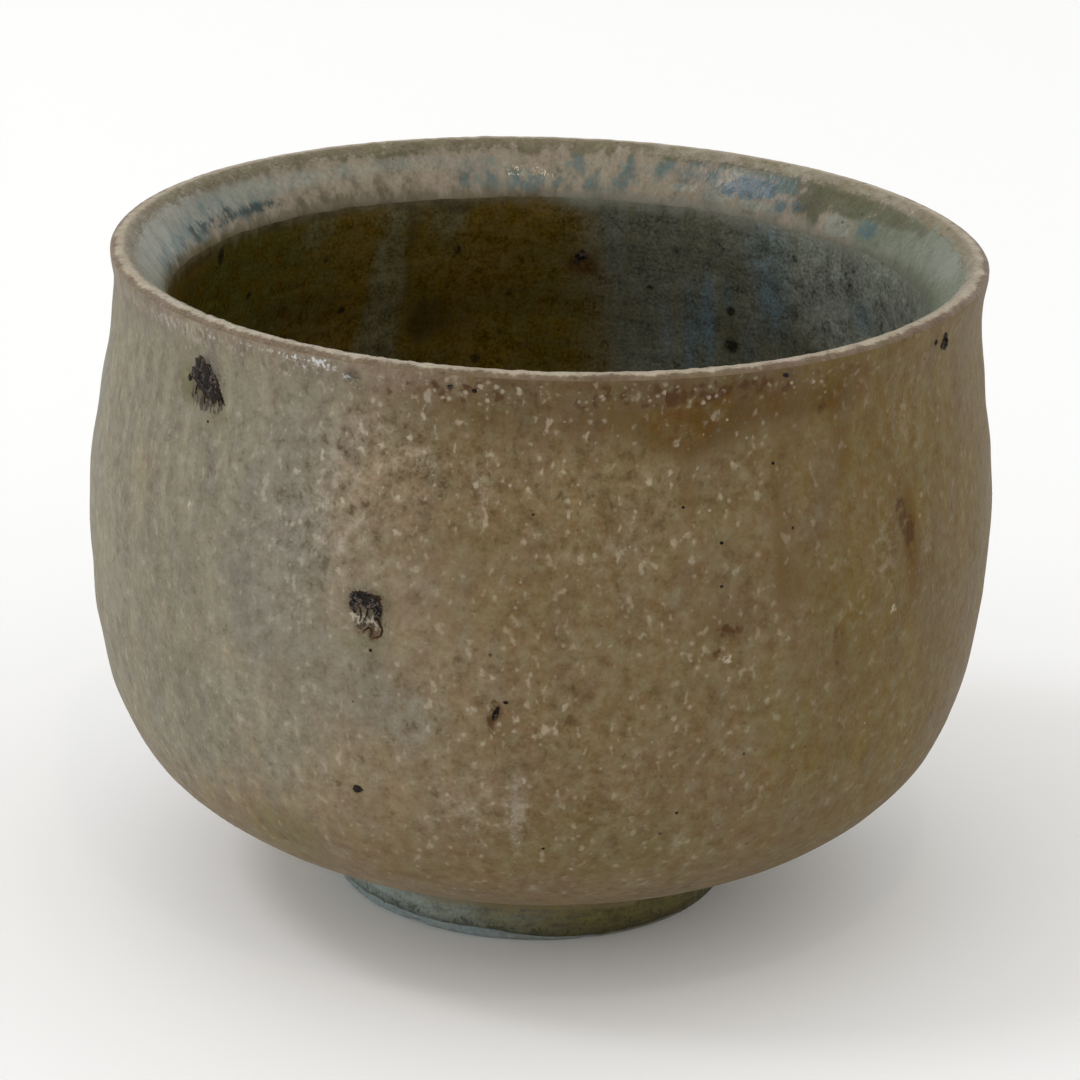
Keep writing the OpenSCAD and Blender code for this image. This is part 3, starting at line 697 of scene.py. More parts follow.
# Opalescent glaze pooled inside the neck: satin gloss, cream lobes on grey, blue-green where it lies thick
neckFinish = {
    "cream": "#8a7e6a", "lavender": "#675c4c", "pale": "#86877a", "sage": "#656d5a", "aqua": "#5a6c69",
    "blue": "#475c63", "teal": "#24332f", "olive": "#515238",
    # creaseWarm darkens the neck's glaze towards the crease: partly the glaze's own edge, partly painted
    # shade of the crease
    "creaseWarm": "#5f563f", "creaseCool": "#747468",
    "speck": "#1d1c14", "roughness": 0.24, "gloss": 0.2,
    "zones": {
        "pale": [(262, 46.6, 9, 1.3, 1.0), (246, 47.2, 7, 0.8, 0.7), (274, 46.5, 8, 1.5, 0.9),
                 (228, 46.9, 6, 0.8, 0.5), (205, 47.2, 8, 0.6, 0.5), (190, 46.5, 4, 0.6, 0.3),
                 (92, 46.2, 7, 1.2, 0.8)],
        "sage": [(104, 46, 9, 3, 1.0), (90, 46.4, 9, 3, 0.8), (78, 46.4, 8, 3, 0.9),
                 (119, 46.6, 3, 1.0, 0.6), (60, 46, 10, 3, 0.5), (42, 46, 12, 3, 0.35)],
        "aqua": [(188, 47.4, 2.2, 0.6, 0.5), (176, 47.1, 1.6, 0.7, 0.5), (167, 47.2, 2.6, 0.8, 0.5),
                 (155, 47.3, 1.8, 0.95, 0.55), (141, 47.2, 1.9, 1.15, 0.78), (148.5, 47, 1.4, 0.95, 0.62),
                 (170, 45.7, 3.4, 0.75, 0.55), (184, 45.8, 2.8, 0.85, 0.62), (192, 45.6, 2, 0.85, 0.55),
                 (161, 46.9, 1.4, 0.85, 0.39), (122.5, 46.3, 1.4, 1.05, 0.62),
                 (206, 46.8, 2.2, 1.15, 0.23), (231, 46.1, 3.4, 1.15, 0.4), (244, 46.4, 3.6, 1.35, 0.5),
                 (254, 46.2, 3.2, 1.25, 0.45), (262, 45.4, 3, 1.15, 0.45), (268, 46.6, 3, 1.55, 0.34),
                 (30, 46, 6, 1.35, 0.31), (330, 46.5, 5, 1.35, 0.28)],
        "blue": [(146.5, 46.7, 2.1, 0.7, 1.0), (121, 46.2, 1.2, 0.6, 0.7), (139, 46.0, 1.2, 0.7, 0.7),
                 (150, 46.4, 1.2, 0.5, 0.6), (184.5, 45.9, 1.2, 0.5, 0.5), (246, 45.9, 2, 0.5, 0.4)],
        "teal": [(228.5, 45.9, 1.0, 0.4, 0.75), (234, 45.9, 1.6, 0.4, 0.9), (239.5, 46.1, 0.5, 0.7, 1.0),
                 (243.5, 45.9, 1.4, 0.5, 0.9), (247.5, 46.0, 0.5, 0.6, 0.9), (250.5, 45.9, 0.6, 0.7, 0.9),
                 (255, 45.6, 0.7, 0.6, 0.7), (260, 45.4, 0.7, 0.5, 0.7), (265, 45.3, 0.7, 0.5, 0.6),
                 (178.5, 46.5, 0.5, 0.5, 0.4), (221, 45.7, 1.0, 0.3, 0.5)],
        "olive": [(132, 47.3, 5.5, 0.8, 1.0), (134.5, 46.0, 1.6, 1.2, 0.7), (124, 47.3, 3, 0.6, 0.8),
                  (114, 47.6, 4, 0.5, 0.6), (200, 47.9, 8, 0.35, 0.35), (230, 47.9, 9, 0.35, 0.3),
                  (215, 45.4, 9, 0.4, 0.35), (178, 47.9, 12, 0.3, 0.3), (150, 47.8, 6, 0.3, 0.6)],
        "whitish": [(129, 46.3, 1.0, 0.9, 0.9), (128, 45.5, 1.7, 0.5, 0.7), (151, 45.9, 1.4, 0.7, 0.7),
                    (143, 45.6, 2.6, 0.45, 0.7), (160, 46.0, 3, 0.4, 0.5), (139, 46.7, 0.7, 0.5, 0.4)],
        "coolSide": [(120, 45, 25, 8, 1.0), (148, 45, 10, 8, 0.7), (90, 45, 25, 8, 1.0)],
        "deep": [(147, 46.2, 8, 2.2, 1.0)],
        "wet": [(186, 46.5, 0.8, 0.6, 1.0), (180.5, 46.4, 1.2, 0.6, 1.0), (148, 45.7, 0.5, 0.4, 0.8)],
    },
}


def opalOver(tree, place, colour, across):
    # lays the neck's glaze over a colour from where it starts inside the lip; also gives its mask and relief
    finish = neckFinish
    lobe = uneven(tree, place, 1.5 * mm, 3, (1.0, 1.0, 0.45))
    fuzz = uneven(tree, place, 0.4 * mm, 2, (1.0, 1.0, 0.5))
    broad = uneven(tree, place, 5 * mm)
    grain = uneven(tree, place, 0.24 * mm)
    ragged = [(lobe, 0.9), (fuzz, 0.5), (grain, 0.15)]
    cloudy = ramped(tree, tally(tree, 0.3, [(lobe, 0.9), (fuzz, 0.4), (broad, 0.2)]), 0.1, 0.9)
    opal = layOver(tree, tint(finish["cream"]), [
        (cloudy, 0.95, finish["lavender"]),
        (patch(tree, "pale", [(lobe, 0.5), (fuzz, 0.4)], 0.1, 0.9), 0.9, finish["pale"]),
        (patch(tree, "sage", [(broad, 0.4), (lobe, 0.4), (fuzz, 0.2)], 0.1, 0.8), 0.95, finish["sage"]),
        (patch(tree, "whitish", ragged, 0.2, 0.7), 0.85, finish["pale"]),
        (patch(tree, "olive", ragged, 0.2, 0.7), 0.85, finish["olive"]),
        (patch(tree, "aqua", ragged, 0.25, 0.8), 0.75, finish["aqua"]),
        (patch(tree, "blue", ragged, 0.25, 0.8), 0.85, finish["blue"]),
        (patch(tree, "teal", [(lobe, 0.5), (fuzz, 0.8)], 0.2, 1.1), 0.9, finish["teal"]),
    ])
    deep = add(tree, "ShaderNodeAttribute", {"attribute_name": "deep"}, out="Fac")
    opal = mottled(tree, opal, [(lobe, -0.14), (fuzz, 0.2), (broad, 0.06), (grain, 0.1), (deep, -0.2)],
                   [(broad, 0.01)], [(lobe, 0.1)])
    covered = ramped(tree, tally(tree, across, [(lobe, -0.55), (fuzz, 0.3)]), 0.65, 1.25)
    relief = tally(tree, 0.5, [(fuzz, 0.1), (lobe, -0.3)])
    return layOver(tree, colour, [(covered, 1.0, opal)]), covered, relief


# The same glaze run thin over the lip: satin, pinkish tan outside, a pale edge where the glaze is thin and
# partly a painted highlight, olive-brown inside
lipFinish = {
    # edge: the pale top of the lip, thin glaze partly painted as a highlight
    "edge": "#9a8d76", "pink": "#6a5942", "olive": "#6e654d", "right": "#7a7056", "pale": "#867d6b",
    "cream": "#b0a58f", "rust": "#4a301c", "roughness": 0.45, "gloss": 0.25,
    "zones": {
        "rimRight": [(92, 48.2, 26, 6, 1.0)],
        "rimPale": [(75, 48.2, 6, 6, 0.6), (160, 48.2, 3, 6, 0.5), (118, 48.3, 4, 3, 0.5),
                    (-95, 48, 6, 4, 0.4), (145, 48.2, 8, 4, 0.6)],
        "wet": [(-36, 47.9, 9, 1.2, 1.0), (-22, 47.9, 5, 1.2, 0.9), (-55, 47.9, 6, 1.2, 0.6)],
    },
}


def lipLook():
    finish = lipFinish
    made, tree, shader, place = startMaterial("thinGlazeOnLip", finish)
    broad = uneven(tree, place, 4 * mm, 2)
    clump = uneven(tree, place, 1.3 * mm, 4)
    grain = uneven(tree, place, 0.26 * mm)
    across = add(tree, "ShaderNodeAttribute", {"attribute_name": "acrossLip"}, out="Fac")
    strayed = tally(tree, across, [(broad, 0.12), (clump, 0.2), (grain, 0.08)])
    inner = layOver(tree, tint(finish["olive"]), [
        (patch(tree, "rimRight", [(broad, 0.3)], 0.2, 0.8), 1.0, finish["right"]),
        (patch(tree, "rimPale", [(clump, 0.5)], 0.2, 0.8), 1.0, finish["pale"]),
    ])
    colour = layOver(tree, tint(finish["pink"]), [
        # the pale line along the top of the lip: thin glaze, partly a painted highlight
        (ramped(tree, strayed, -0.75, -0.45), 1.0, finish["edge"]),
        (ramped(tree, strayed, -0.15, 0.15), 1.0, inner)])
    colour = mottled(tree, colour, [(broad, 0.08), (clump, 0.3), (grain, 0.12)],
                     [(broad, 0.015)], [(clump, -0.15)])
    near, first, second = cells(tree, place, 0.62 * mm)
    near = tally(tree, near, [(grain, 0.08)])
    pale = fleck(tree, near, first, 1.0, 0.5, 1.0, 0.9)
    specks = fleck(tree, near, second, 0.9, 0.6, 1.0, 0.8)
    colour = layOver(tree, colour, [(pale, 0.42, finish["cream"]), (specks, 0.6, finish["rust"])])
    colour, covered = opalOver(tree, place, colour, across)[:2]
    wet = patch(tree, "wet", [(clump, 0.4), (grain, 0.3)], 0.3, 0.7)
    rough = tally(tree, finish["roughness"], [(grain, 0.07), (wet, -0.32), (covered, -0.2)])
    height = tally(tree, 0.5, [(grain, 0.22), (clump, 0.4), (specks, -0.2)])
    finishOff(tree, shader, colour, rough, height, 0.14 * mm)
    return made


def neckLook():
    finish = neckFinish
    made, tree, shader, place = startMaterial("opalescentNeckGlaze", finish)
    across = add(tree, "ShaderNodeAttribute", {"attribute_name": "acrossLip"}, out="Fac")
    colour, covered, height = opalOver(tree, place, tint(lipFinish["olive"]), across)
    smear = uneven(tree, place, 1.2 * mm, 4, (1.0, 1.0, 0.3))
    # darker towards the crease where the neck turns into the well: partly the glaze's own edge, partly
    # painted shade
    crease = ramped(tree, tally(tree, across, [(smear, 0.9)]), 4.1, 5.0)
    rim = layOver(tree, tint(finish["creaseWarm"]), [
        (patch(tree, "coolSide", [(smear, 0.4)]), 1.0, finish["creaseCool"])])
    near, first = cells(tree, place, 1.5 * mm)[:2]
    specks = fleck(tree, near, first, 0.3, 0.5, 1.0)
    colour = layOver(tree, colour, [(crease, 0.65, rim), (specks, 0.6, finish["speck"])])
    wet = patch(tree, "wet", [(smear, 0.3)], 0.3, 0.8)
    rough = tally(tree, finish["roughness"] + 0.2, [(covered, -0.2), (smear, 0.04), (wet, -0.18)])
    finishOff(tree, shader, colour, rough, height, 0.06 * mm)
    return made


# Dark glaze in the well: satin amber-brown on one side, grey-green to blue on the other, with rivulets
wellFinish = {
    "amber": "#62501b", "brown": "#463711", "reddish": "#4a3716", "green": "#5a5a44", "cool": "#606155",
    "blue": "#4c616b", "slate": "#4a4734", "mist": "#7a7f74", "mossy": "#3f3c12", "ink": "#14120c",
    "iron": "#150f08", "rust": "#41280c", "roughness": 0.36, "gloss": 0.14,
    "zones": {
        "cool": [(128, 38, 18, 14, 1.0), (108, 36, 20, 16, 1.0), (148, 40, 7, 14, 0.9),
                 (90, 30, 20, 20, 0.9), (60, 30, 16, 20, 0.6), (159, 44, 5, 3, 0.8),
                 (154, 26, 6, 10, 0.7), (171, 45, 4, 1.2, 0.5), (300, 34, 6, 20, 0.5)],
        "mist": [(112, 42, 10, 5, 0.9), (124, 40, 6, 5, 0.7), (98, 40, 8, 8, 0.8), (135, 43, 6, 3, 0.4)],
        "mossy": [(236, 40, 9, 7, 0.9), (180, 34, 6, 6, 0.5), (250, 30, 8, 8, 0.6)],
        "reddish": [(226, 36, 5, 4, 0.6), (188, 38, 7, 6, 0.6), (214, 32, 5, 4, 0.5)],
        "green": [(206.5, 39, 1.3, 5.5, 0.9), (207.5, 33, 1.5, 5.0, 0.8), (220.5, 43, 2.2, 2.6, 0.45),
                  (209, 28, 2.2, 5.0, 0.7), (199, 43.5, 2.6, 1.4, 0.5), (196, 41.5, 1.2, 2.2, 0.45),
                  (172, 44.6, 4, 1.2, 0.6), (340, 30, 2, 9, 0.6)],
        "blue": [(141.5, 42, 2.2, 3.6, 0.6), (140.5, 37, 1.8, 2.5, 0.5), (153, 35.5, 0.7, 4.0, 0.8),
                 (156.3, 34, 0.7, 4.5, 0.7), (149.3, 38, 0.6, 1.6, 0.5), (120.5, 39.5, 1.7, 1.6, 0.6),
                 (160.5, 34, 0.7, 4.0, 0.4), (146, 33, 0.9, 3, 0.4), (168.5, 40, 0.7, 5, 0.3),
                 (132, 30, 2, 4, 0.4), (100, 37, 2, 3, 0.4)],
        # dark: iron streaks down the well, and the long flat bands at 44.6 to 44.8 mm just under the neck's
        # crease, which are painted shade
        "dark": [(202.5, 42.6, 0.9, 1.8, 0.5), (203.2, 38, 0.7, 3, 0.35), (199, 36, 1.2, 2.2, 0.4),
                 (201, 33.6, 1.6, 1.2, 0.5), (195, 43.9, 1.4, 0.6, 0.8), (214, 37.2, 3.2, 0.6, 0.5),
                 (170, 43.6, 1.5, 0.8, 0.4), (240, 44.6, 14, 0.8, 0.7), (212, 44.8, 8, 0.5, 0.5),
                 (192, 44.6, 6, 0.6, 0.5), (256, 42, 5, 4, 0.5), (196, 34, 3, 2, 0.5)],
        "halo": [(174.2, 39.3, 1.1, 0.8, 0.9), (175.5, 38.6, 1.1, 0.6, 0.5),
                 (172.8, 38.8, 0.9, 0.5, 0.5)],
        "ink": [(149, 36.6, 0.39, 0.39, 1.2), (149.2, 33.6, 0.65, 0.65, 1.1),
                (194.8, 40.2, 0.31, 0.31, 1.2), (218.5, 40.6, 0.29, 0.29, 1),
                (235, 39.2, 0.34, 0.34, 1.1), (214.5, 36, 0.39, 0.34, 1.2), (191, 30.8, 0.39, 0.39, 1.1),
                (123, 41.6, 0.39, 0.39, 1), (158.5, 41, 0.31, 0.31, 1), (244.2, 43.4, 0.39, 0.65, 1.2),
                (163, 37.5, 0.39, 0.34, 0.9), (226, 37, 0.34, 0.31, 0.8), (186, 36.4, 0.31, 0.39, 0.9),
                (229, 41.8, 0.26, 0.26, 0.9), (136, 42.3, 0.39, 0.31, 0.9)],
    },
}


def wellLook():
    finish = wellFinish
    made, tree, shader, place = startMaterial("darkWellGlaze", finish)
    streak = uneven(tree, place, 1.0 * mm, 2, (1.0, 1.0, 0.1))
    lines = uneven(tree, place, 0.7 * mm, 1, (0.12, 0.12, 1.0))
    broad = uneven(tree, place, 6 * mm, 2)
    clump = uneven(tree, place, 1.4 * mm, 3, crisp=0.75)
    grain = uneven(tree, place, 0.26 * mm, 1)
    ragged = [(streak, 0.3), (clump, 0.5), (grain, 0.2)]
    colour = layOver(tree, tint(finish["amber"]), [
        (tally(tree, 0.45, [(clump, 0.5), (broad, 0.2), (streak, 0.2)]), 1.0, finish["brown"]),
        (patch(tree, "mossy", [(clump, 0.8), (broad, 0.4)], 0.2, 1.0), 0.8, finish["mossy"]),
        (patch(tree, "reddish", [(clump, -0.8), (streak, 0.3)], 0.2, 1.0), 0.45, finish["reddish"]),
    ])
    cool = layOver(tree, tint(finish["cool"]), [
        (tally(tree, 0.3, [(streak, 0.4), (broad, 0.35), (clump, 0.6)]), 1.0, finish["slate"])])
    colour = layOver(tree, colour, [
        (patch(tree, "cool", [(streak, 0.25), (broad, 0.2), (clump, 0.2)], 0.15, 0.95), 1.0, cool),
        (patch(tree, "mist", [(streak, 0.3), (broad, 0.3), (clump, 0.4)], 0.1, 0.9), 0.7, finish["mist"]),
        (patch(tree, "green", ragged, 0.1, 1.0), 0.62, finish["green"]),
        (patch(tree, "blue", ragged, 0.1, 1.0), 0.7, finish["blue"]),
        (patch(tree, "halo", ragged, 0.1, 1.0), 0.7, finish["rust"]),
        # iron streaks, and painted shade in flat bands just under the crease
        (patch(tree, "dark", ragged, 0.15, 0.95), 0.55, finish["iron"]),
    ])
    colour = mottled(tree, colour, [(lines, 0.12), (streak, 0.12), (grain, 0.36), (clump, 0.6)],
                     [(clump, 0.005), (broad, 0.004)], [(clump, -0.15)])
    near, first, second = cells(tree, place, 0.9 * mm)
    darks = fleck(tree, near, first, 0.8, 0.5, 1.0, 1.0)
    pale = fleck(tree, near, second, 0.8, 0.6, 1.0, 1.0)
    across = add(tree, "ShaderNodeAttribute", {"attribute_name": "acrossLip"}, out="Fac")
    crease = ramped(tree, tally(tree, across, [(streak, 0.5), (clump, 0.6), (grain, 0.15)]), 6.2, 5.0)
    rim = layOver(tree, tint(neckFinish["creaseWarm"]), [
        (patch(tree, "cool", [(clump, 0.4)]), 1.0, neckFinish["creaseCool"])])
    colour = layOver(tree, colour, [
        (darks, 0.65, finish["iron"]), (pale, 0.2, neckFinish["lavender"]),
        (crease, 0.75, rim), (patch(tree, "ink", [(grain, 0.5), (clump, 0.3)], 0.3, 0.9), 0.9, finish["ink"]),
    ])
    rough = tally(tree, finish["roughness"], [(grain, 0.06), (broad, 0.05)])
    height = tally(tree, 0.5, [(grain, 0.2), (clump, 0.25), (lines, 0.15)])
    finishOff(tree, shader, colour, rough, height, 0.05 * mm)
    return made


# The ash glaze thinned over the foot: satin, blue-grey to dark olive round it, with a dark beaded edge
footFinish = {
    "blue": "#7e877f", "middle": "#6b6a57", "olive": "#57502c", "line": "#1c1d15", "tan": "#766848",
    "cream": "#969686", "roughness": 0.48, "gloss": 0.18,
}


def footGlazeLook():
    finish = footFinish
    made, tree, shader, place = startMaterial("thinGlazeOverFoot", finish)
    lines = uneven(tree, place, 0.55 * mm, 2, (0.2, 0.2, 1.6))
    broad = uneven(tree, place, 3.5 * mm, 2)
    clump = uneven(tree, place, 1.2 * mm, 4)
    grain = uneven(tree, place, 0.26 * mm)
    side = add(tree, "ShaderNodeAttribute", {"attribute_name": "footSide"}, out="Fac")
    side = tally(tree, side, [(broad, 0.14), (lines, 0.1), (clump, 0.08)])
    ramp = [(0.12, finish["blue"]), (0.5, finish["middle"]), (0.85, finish["olive"])]
    colour = add(tree, "ShaderNodeValToRGB", {"ramp": ramp}, {"Fac": side})
    aboveEdge = add(tree, "ShaderNodeAttribute", {"attribute_name": "aboveEdge"}, out="Fac")
    top = ramped(tree, tally(tree, aboveEdge, [(lines, 0.4), (clump, 0.2)]), 1.5, 2.3)
    line = ramped(tree, tally(tree, aboveEdge, [(clump, -0.8), (grain, -0.4)]), 0.8, 0.1)
    colour = mottled(tree, colour, [(lines, 0.3), (clump, 0.5), (grain, 0.2)], [(clump, 0.012)])
    near, first = cells(tree, place, 0.9 * mm)[:2]
    pale = fleck(tree, near, first, 0.7, 0.5, 1.0, 0.8)
    colour = layOver(tree, colour, [
        (top, 0.8, finish["tan"]), (pale, 0.35, finish["cream"]), (line, 0.7, finish["line"])])
    height = tally(tree, 0.5, [(grain, 0.25), (clump, 0.3), (lines, 0.2)])
    finishOff(tree, shader, colour, tally(tree, finish["roughness"], [(grain, 0.08)]), height, 0.06 * mm)
    return made


# Iron that bled through and melted: near-black with purplish grey patches, brown at its thin edges
ironFinish = {
    "black": "#0e0b09", "charcoal": "#241f1c", "brown": "#38230e", "grey": "#564c44",
    "roughness": 0.5, "gloss": 0.08,
}


def ironLook():
    finish = ironFinish
    made, tree, shader, place = startMaterial("meltedIronBloom", finish)
    clump = uneven(tree, place, 0.55 * mm, 3)
    grain = uneven(tree, place, 0.18 * mm)
    colour = layOver(tree, tint(finish["black"]), [
        (ramped(tree, tally(tree, 0.45, [(clump, 0.8), (grain, 0.4)]), 0.1, 0.9), 1.0, finish["charcoal"]),
        (ramped(tree, tally(tree, 0.2, [(clump, -0.9), (grain, 0.6)]), 0.2, 0.9), 0.9, finish["grey"]),
        (patch(tree, "rim", [(clump, 0.5), (grain, 0.4)], 0.5, 1.0), 0.8, finish["brown"]),
    ])
    rough = tally(tree, finish["roughness"], [(clump, 0.12), (grain, 0.08)])
    finishOff(tree, shader, colour, rough, tally(tree, 0.5, [(clump, 0.5), (grain, 0.3)]), 0.08 * mm)
    return made


# Felspar crystals and ash grains half sunk in the glaze: pale cream, a little glossy
crystalFinish = {"cream": "#7a6e5a", "pale": "#8a7e69", "roughness": 0.22, "gloss": 0.45}


def crystalLook():
    finish = crystalFinish
    made, tree, shader, place = startMaterial("felsparCrystals", finish)
    clump = uneven(tree, place, 1.6 * mm)
    colour = layOver(tree, tint(finish["cream"]), [(ramped(tree, clump, 0.0, 1.0), 1.0, finish["pale"])])
    tree.links.new(colour, shader.inputs["Base Color"])
    return made


glazeLooks = dict(zip(coatNames, [footGlazeLook(), ashLook(), lipLook(), neckLook(), wellLook()]))
clayMaterial = clayLook()
ironMaterial = ironLook()
crystalMaterial = crystalLook()
print("materials made:", len(bpy.data.materials))

# Throw the wall

handThrown = throwTree()
truePoints = turned(radiusGrid, heightGrid, angleGrid)
relief = np.repeat(np.clip(places / wall["reliefFromFoot"], 0.2, 1)[:, None], around, 1)
relief *= np.clip(np.abs(places - lipMiddle) / wall["reliefFromLip"], 0.7, 1)[:, None]
relief *= np.clip((places[-1] - places) / wall["reliefFromPole"], 0, 1)[:, None]
onOutside = (places < bounds[2])[:, None]
dent = zoneField(wall["dents"]) * mm * onOutside

draw = np.random.default_rng(wall["seed"])


def strayRound(waves, fall, size):
    # a line that strays round the cup: waves of many counts, each smaller by a power of its count
    return size * sum(
        draw.normal() * np.cos(k * turns + draw.uniform(0, 2 * math.pi)) / k ** fall for k in waves)


def nearPlace(place, reach):
    # 1 for the rows at a place along the outline, fading over a reach
    return np.exp(-(((places - place) / reach) ** 2))[:, None]


# the glaze edge over the foot: it strays, and runs further down on the right
stray = strayRound(range(2, 60), 0.5, 0.12)
rightward = smoothStep(np.degrees(turns), -12, 14) * smoothStep(-np.degrees(turns), -170, -130)
edgeMove = wall["raggedFoot"] * stray - wall["edgeDrop"] * rightward
fade = np.clip(1 - places / wall["edgeReach"], 0, 1)[:, None] ** 1.5
truePoints[:, :, 2] += edgeMove[None] * fade * (places < bounds[1])[:, None]

azimuth, wide, rise = wall["rimRise"]
nearRight = np.exp(-(((np.degrees(angleGrid) - azimuth) / wide) ** 2))
truePoints[:, :, 2] += rise * nearRight * (heightGrid / cupHigh) ** 4

# the crease where the neck's glaze ends wanders too, and the worn rim is a little notched
wander = strayRound(range(3, 90), 0.5, 0.1)
truePoints[:, :, 2] += wall["raggedCrease"] * wander * nearPlace(bounds[4], wall["creaseReach"])
notch = strayRound(range(40, 200, 3), 0, 0.1)
truePoints[:, :, 2] += wall["notchedRim"] * notch * nearPlace(lipMiddle, wall["rimReach"])

mesh = meshFrom("glazedWall", truePoints.reshape(-1, 3), gridFaces(len(rows), around))
setValues(mesh, "relief", relief)
setValues(mesh, "dent", dent)
setValues(mesh, "facing", facingGrid, "FLOAT_VECTOR")
wallObject = placeObject("glazedWall", mesh)
baked = runTree(wallObject, handThrown, {
    "Oval": wall["oval"], "Lean": wall["lean"], "Rim Wave": wall["rimWave"],
    "Ridge Depth": wall["ridgeDepth"], "Ridge Gap": wall["ridgeGap"],
    "Peel Depth": wall["peelDepth"], "Peel Size": wall["peelSize"],
    "Run Depth": wall["runDepth"], "Run Gap": wall["runGap"],
    "High": cupHigh, "Seed": wall["seed"], "Glaze": glazeLooks["outer_glaze"],
})
moved = np.empty(len(baked.vertices) * 3, np.float32)
baked.vertices.foreach_get("co", moved)
moved = moved.reshape(len(rows), around, 3).astype(float)
bpy.data.objects.remove(wallObject)
roundWay = np.roll(moved, -1, 1) - np.roll(moved, 1, 1)
upWay = np.gradient(moved, axis=0)
normals = np.cross(roundWay, upWay)
normals /= np.maximum(np.linalg.norm(normals, axis=-1, keepdims=True), 1e-12)
normals[-1] = [0, 0, 1]
print("wall thrown")

# What the materials read from the mesh

degrees = np.degrees(angleGrid)
painted = {name: {} for name in coatNames}
for name, finish in zip(coatNames[1:], (ashFinish, lipFinish, neckFinish, wellFinish)):
    painted[name] = {field: zoneField(zones) for field, zones in finish["zones"].items()}
    painted[name]["acrossLip"] = np.repeat(((places - lipMiddle) / mm)[:, None], around, 1)
painted["lip_glaze"] = painted["neck_glaze"] | painted["lip_glaze"]
painted["foot_glaze"]["footSide"] = smoothStep(degrees, -60, 45) * (1 - smoothStep(degrees, 110, 175))
painted["foot_glaze"]["aboveEdge"] = np.repeat((places / mm)[:, None], around, 1)
# the two sides meet evenly at the back
meeting = 1 - smoothStep(np.abs(degrees), 115, 178)
streaky = 0.75 * (1 - smoothStep(degrees, -45, -15)) + 0.4 * smoothStep(degrees, 35, 60)
underLip = smoothStep(heightGrid, 40 * mm, 48.4 * mm)
blush = smoothStep(heightGrid, 45.6 * mm, 48 * mm)
rightFace = smoothStep(degrees, 16, 40) * (1 - smoothStep(degrees, 95, 140))
outside = painted["outer_glaze"]
outside["streaky"] = 0.25 + streaky * meeting + 0.5 * (1 - meeting)
outside["underLip"] = underLip * (0.35 + 0.65 * smoothStep(degrees, -28, -8) * meeting)
outside["blush"] = blush * (1 - smoothStep(degrees, -20, 0)) * meeting
outside["warmth"] += 0.45 * (1 - smoothStep(heightGrid, 8 * mm, 17 * mm))
outside["busy"] += 0.6 - 0.22 * rightFace
outside["oliveSide"] = smoothStep(degrees, 18, 48) * (1 - smoothStep(degrees, 95, 140))

coatThick = {"foot_glaze": 0.18 * mm, "outer_glaze": 0.4 * mm, "lip_glaze": 0.2 * mm, "neck_glaze": 0.6 * mm,
             "well_glaze": 0.5 * mm}
backRowCount = 24


def makeCoat(index, name):
    # one coat as a closed shell: the thrown face, and a coarse back against the clay
    first = int(np.argmax(coats == index))
    atPole = name == coatNames[-1]
    last = int(len(rows) - 1 if atPole else np.argmax(coats == index + 1))
    face, out = moved[first:last + 1], normals[first:last + 1]
    count = last - first + 1
    backRows = np.unique(np.linspace(0, count - 1, backRowCount).astype(int))[::-1]
    back = face[backRows] - out[backRows] * coatThick[name]
    ring = np.arange(around)
    nextRing = (ring + 1) % around
    if atPole:
        # the floor of the well closes at a pole, above and below
        top, under = face[:-1].reshape(-1, 3), back[1:].reshape(-1, 3)
        pole = face[-1, 0]
        points = np.vstack([top, under, pole[None], pole[None] - [[0, 0, coatThick[name]]]])
        n, m = count - 1, len(backRows) - 1
        quads = [gridFaces(n, around), gridFaces(m, around, n * around)]
        lastTop, firstUnder, lastUnder = (n - 1) * around, n * around, (n + m - 1) * around
        poleAt, underAt = len(points) - 2, len(points) - 1
        triangles = np.vstack([
            np.column_stack([lastTop + ring, lastTop + nextRing, np.full(around, poleAt)]),
            np.column_stack([firstUnder + nextRing, firstUnder + ring, np.full(around, underAt)]),
        ])
        outs = np.vstack([out[:-1].reshape(-1, 3), np.zeros_like(under), [[0, 0, 1]], [[0, 0, 0]]])
        hidden = (backRows[1:, None] * around + ring).ravel()
        order = np.concatenate([np.arange(n * around), hidden, [n * around] * 2])
    else:
        points = np.vstack([face.reshape(-1, 3), back.reshape(-1, 3)])
        n, m = count, len(backRows)
        quads = [gridFaces(n + m, around)]
        lastUnder = (n + m - 1) * around
        triangles = []
        outs = np.vstack([out.reshape(-1, 3), np.zeros((m * around, 3))])
        order = np.concatenate([np.arange(n * around), (backRows[:, None] * around + ring).ravel()])
    quads.append(np.column_stack([lastUnder + ring, lastUnder + nextRing, nextRing, ring]))
    mesh = meshFrom(name + "_coat", points, np.vstack(quads), triangles)
    mesh.normals_split_custom_set_from_vertices(outs.tolist())
    for key, field in painted[name].items():
        setValues(mesh, key, field[first:last + 1].reshape(-1)[order])
    mesh.materials.append(glazeLooks[name])
    made = placeObject(name + "_coat", mesh)
    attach(made, body)
    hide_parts(name)
    return made


coatPieces = {name: makeCoat(k, name) for k, name in enumerate(coatNames)}
print("coats made:", {k: len(v.data.polygons) for k, v in coatPieces.items()})


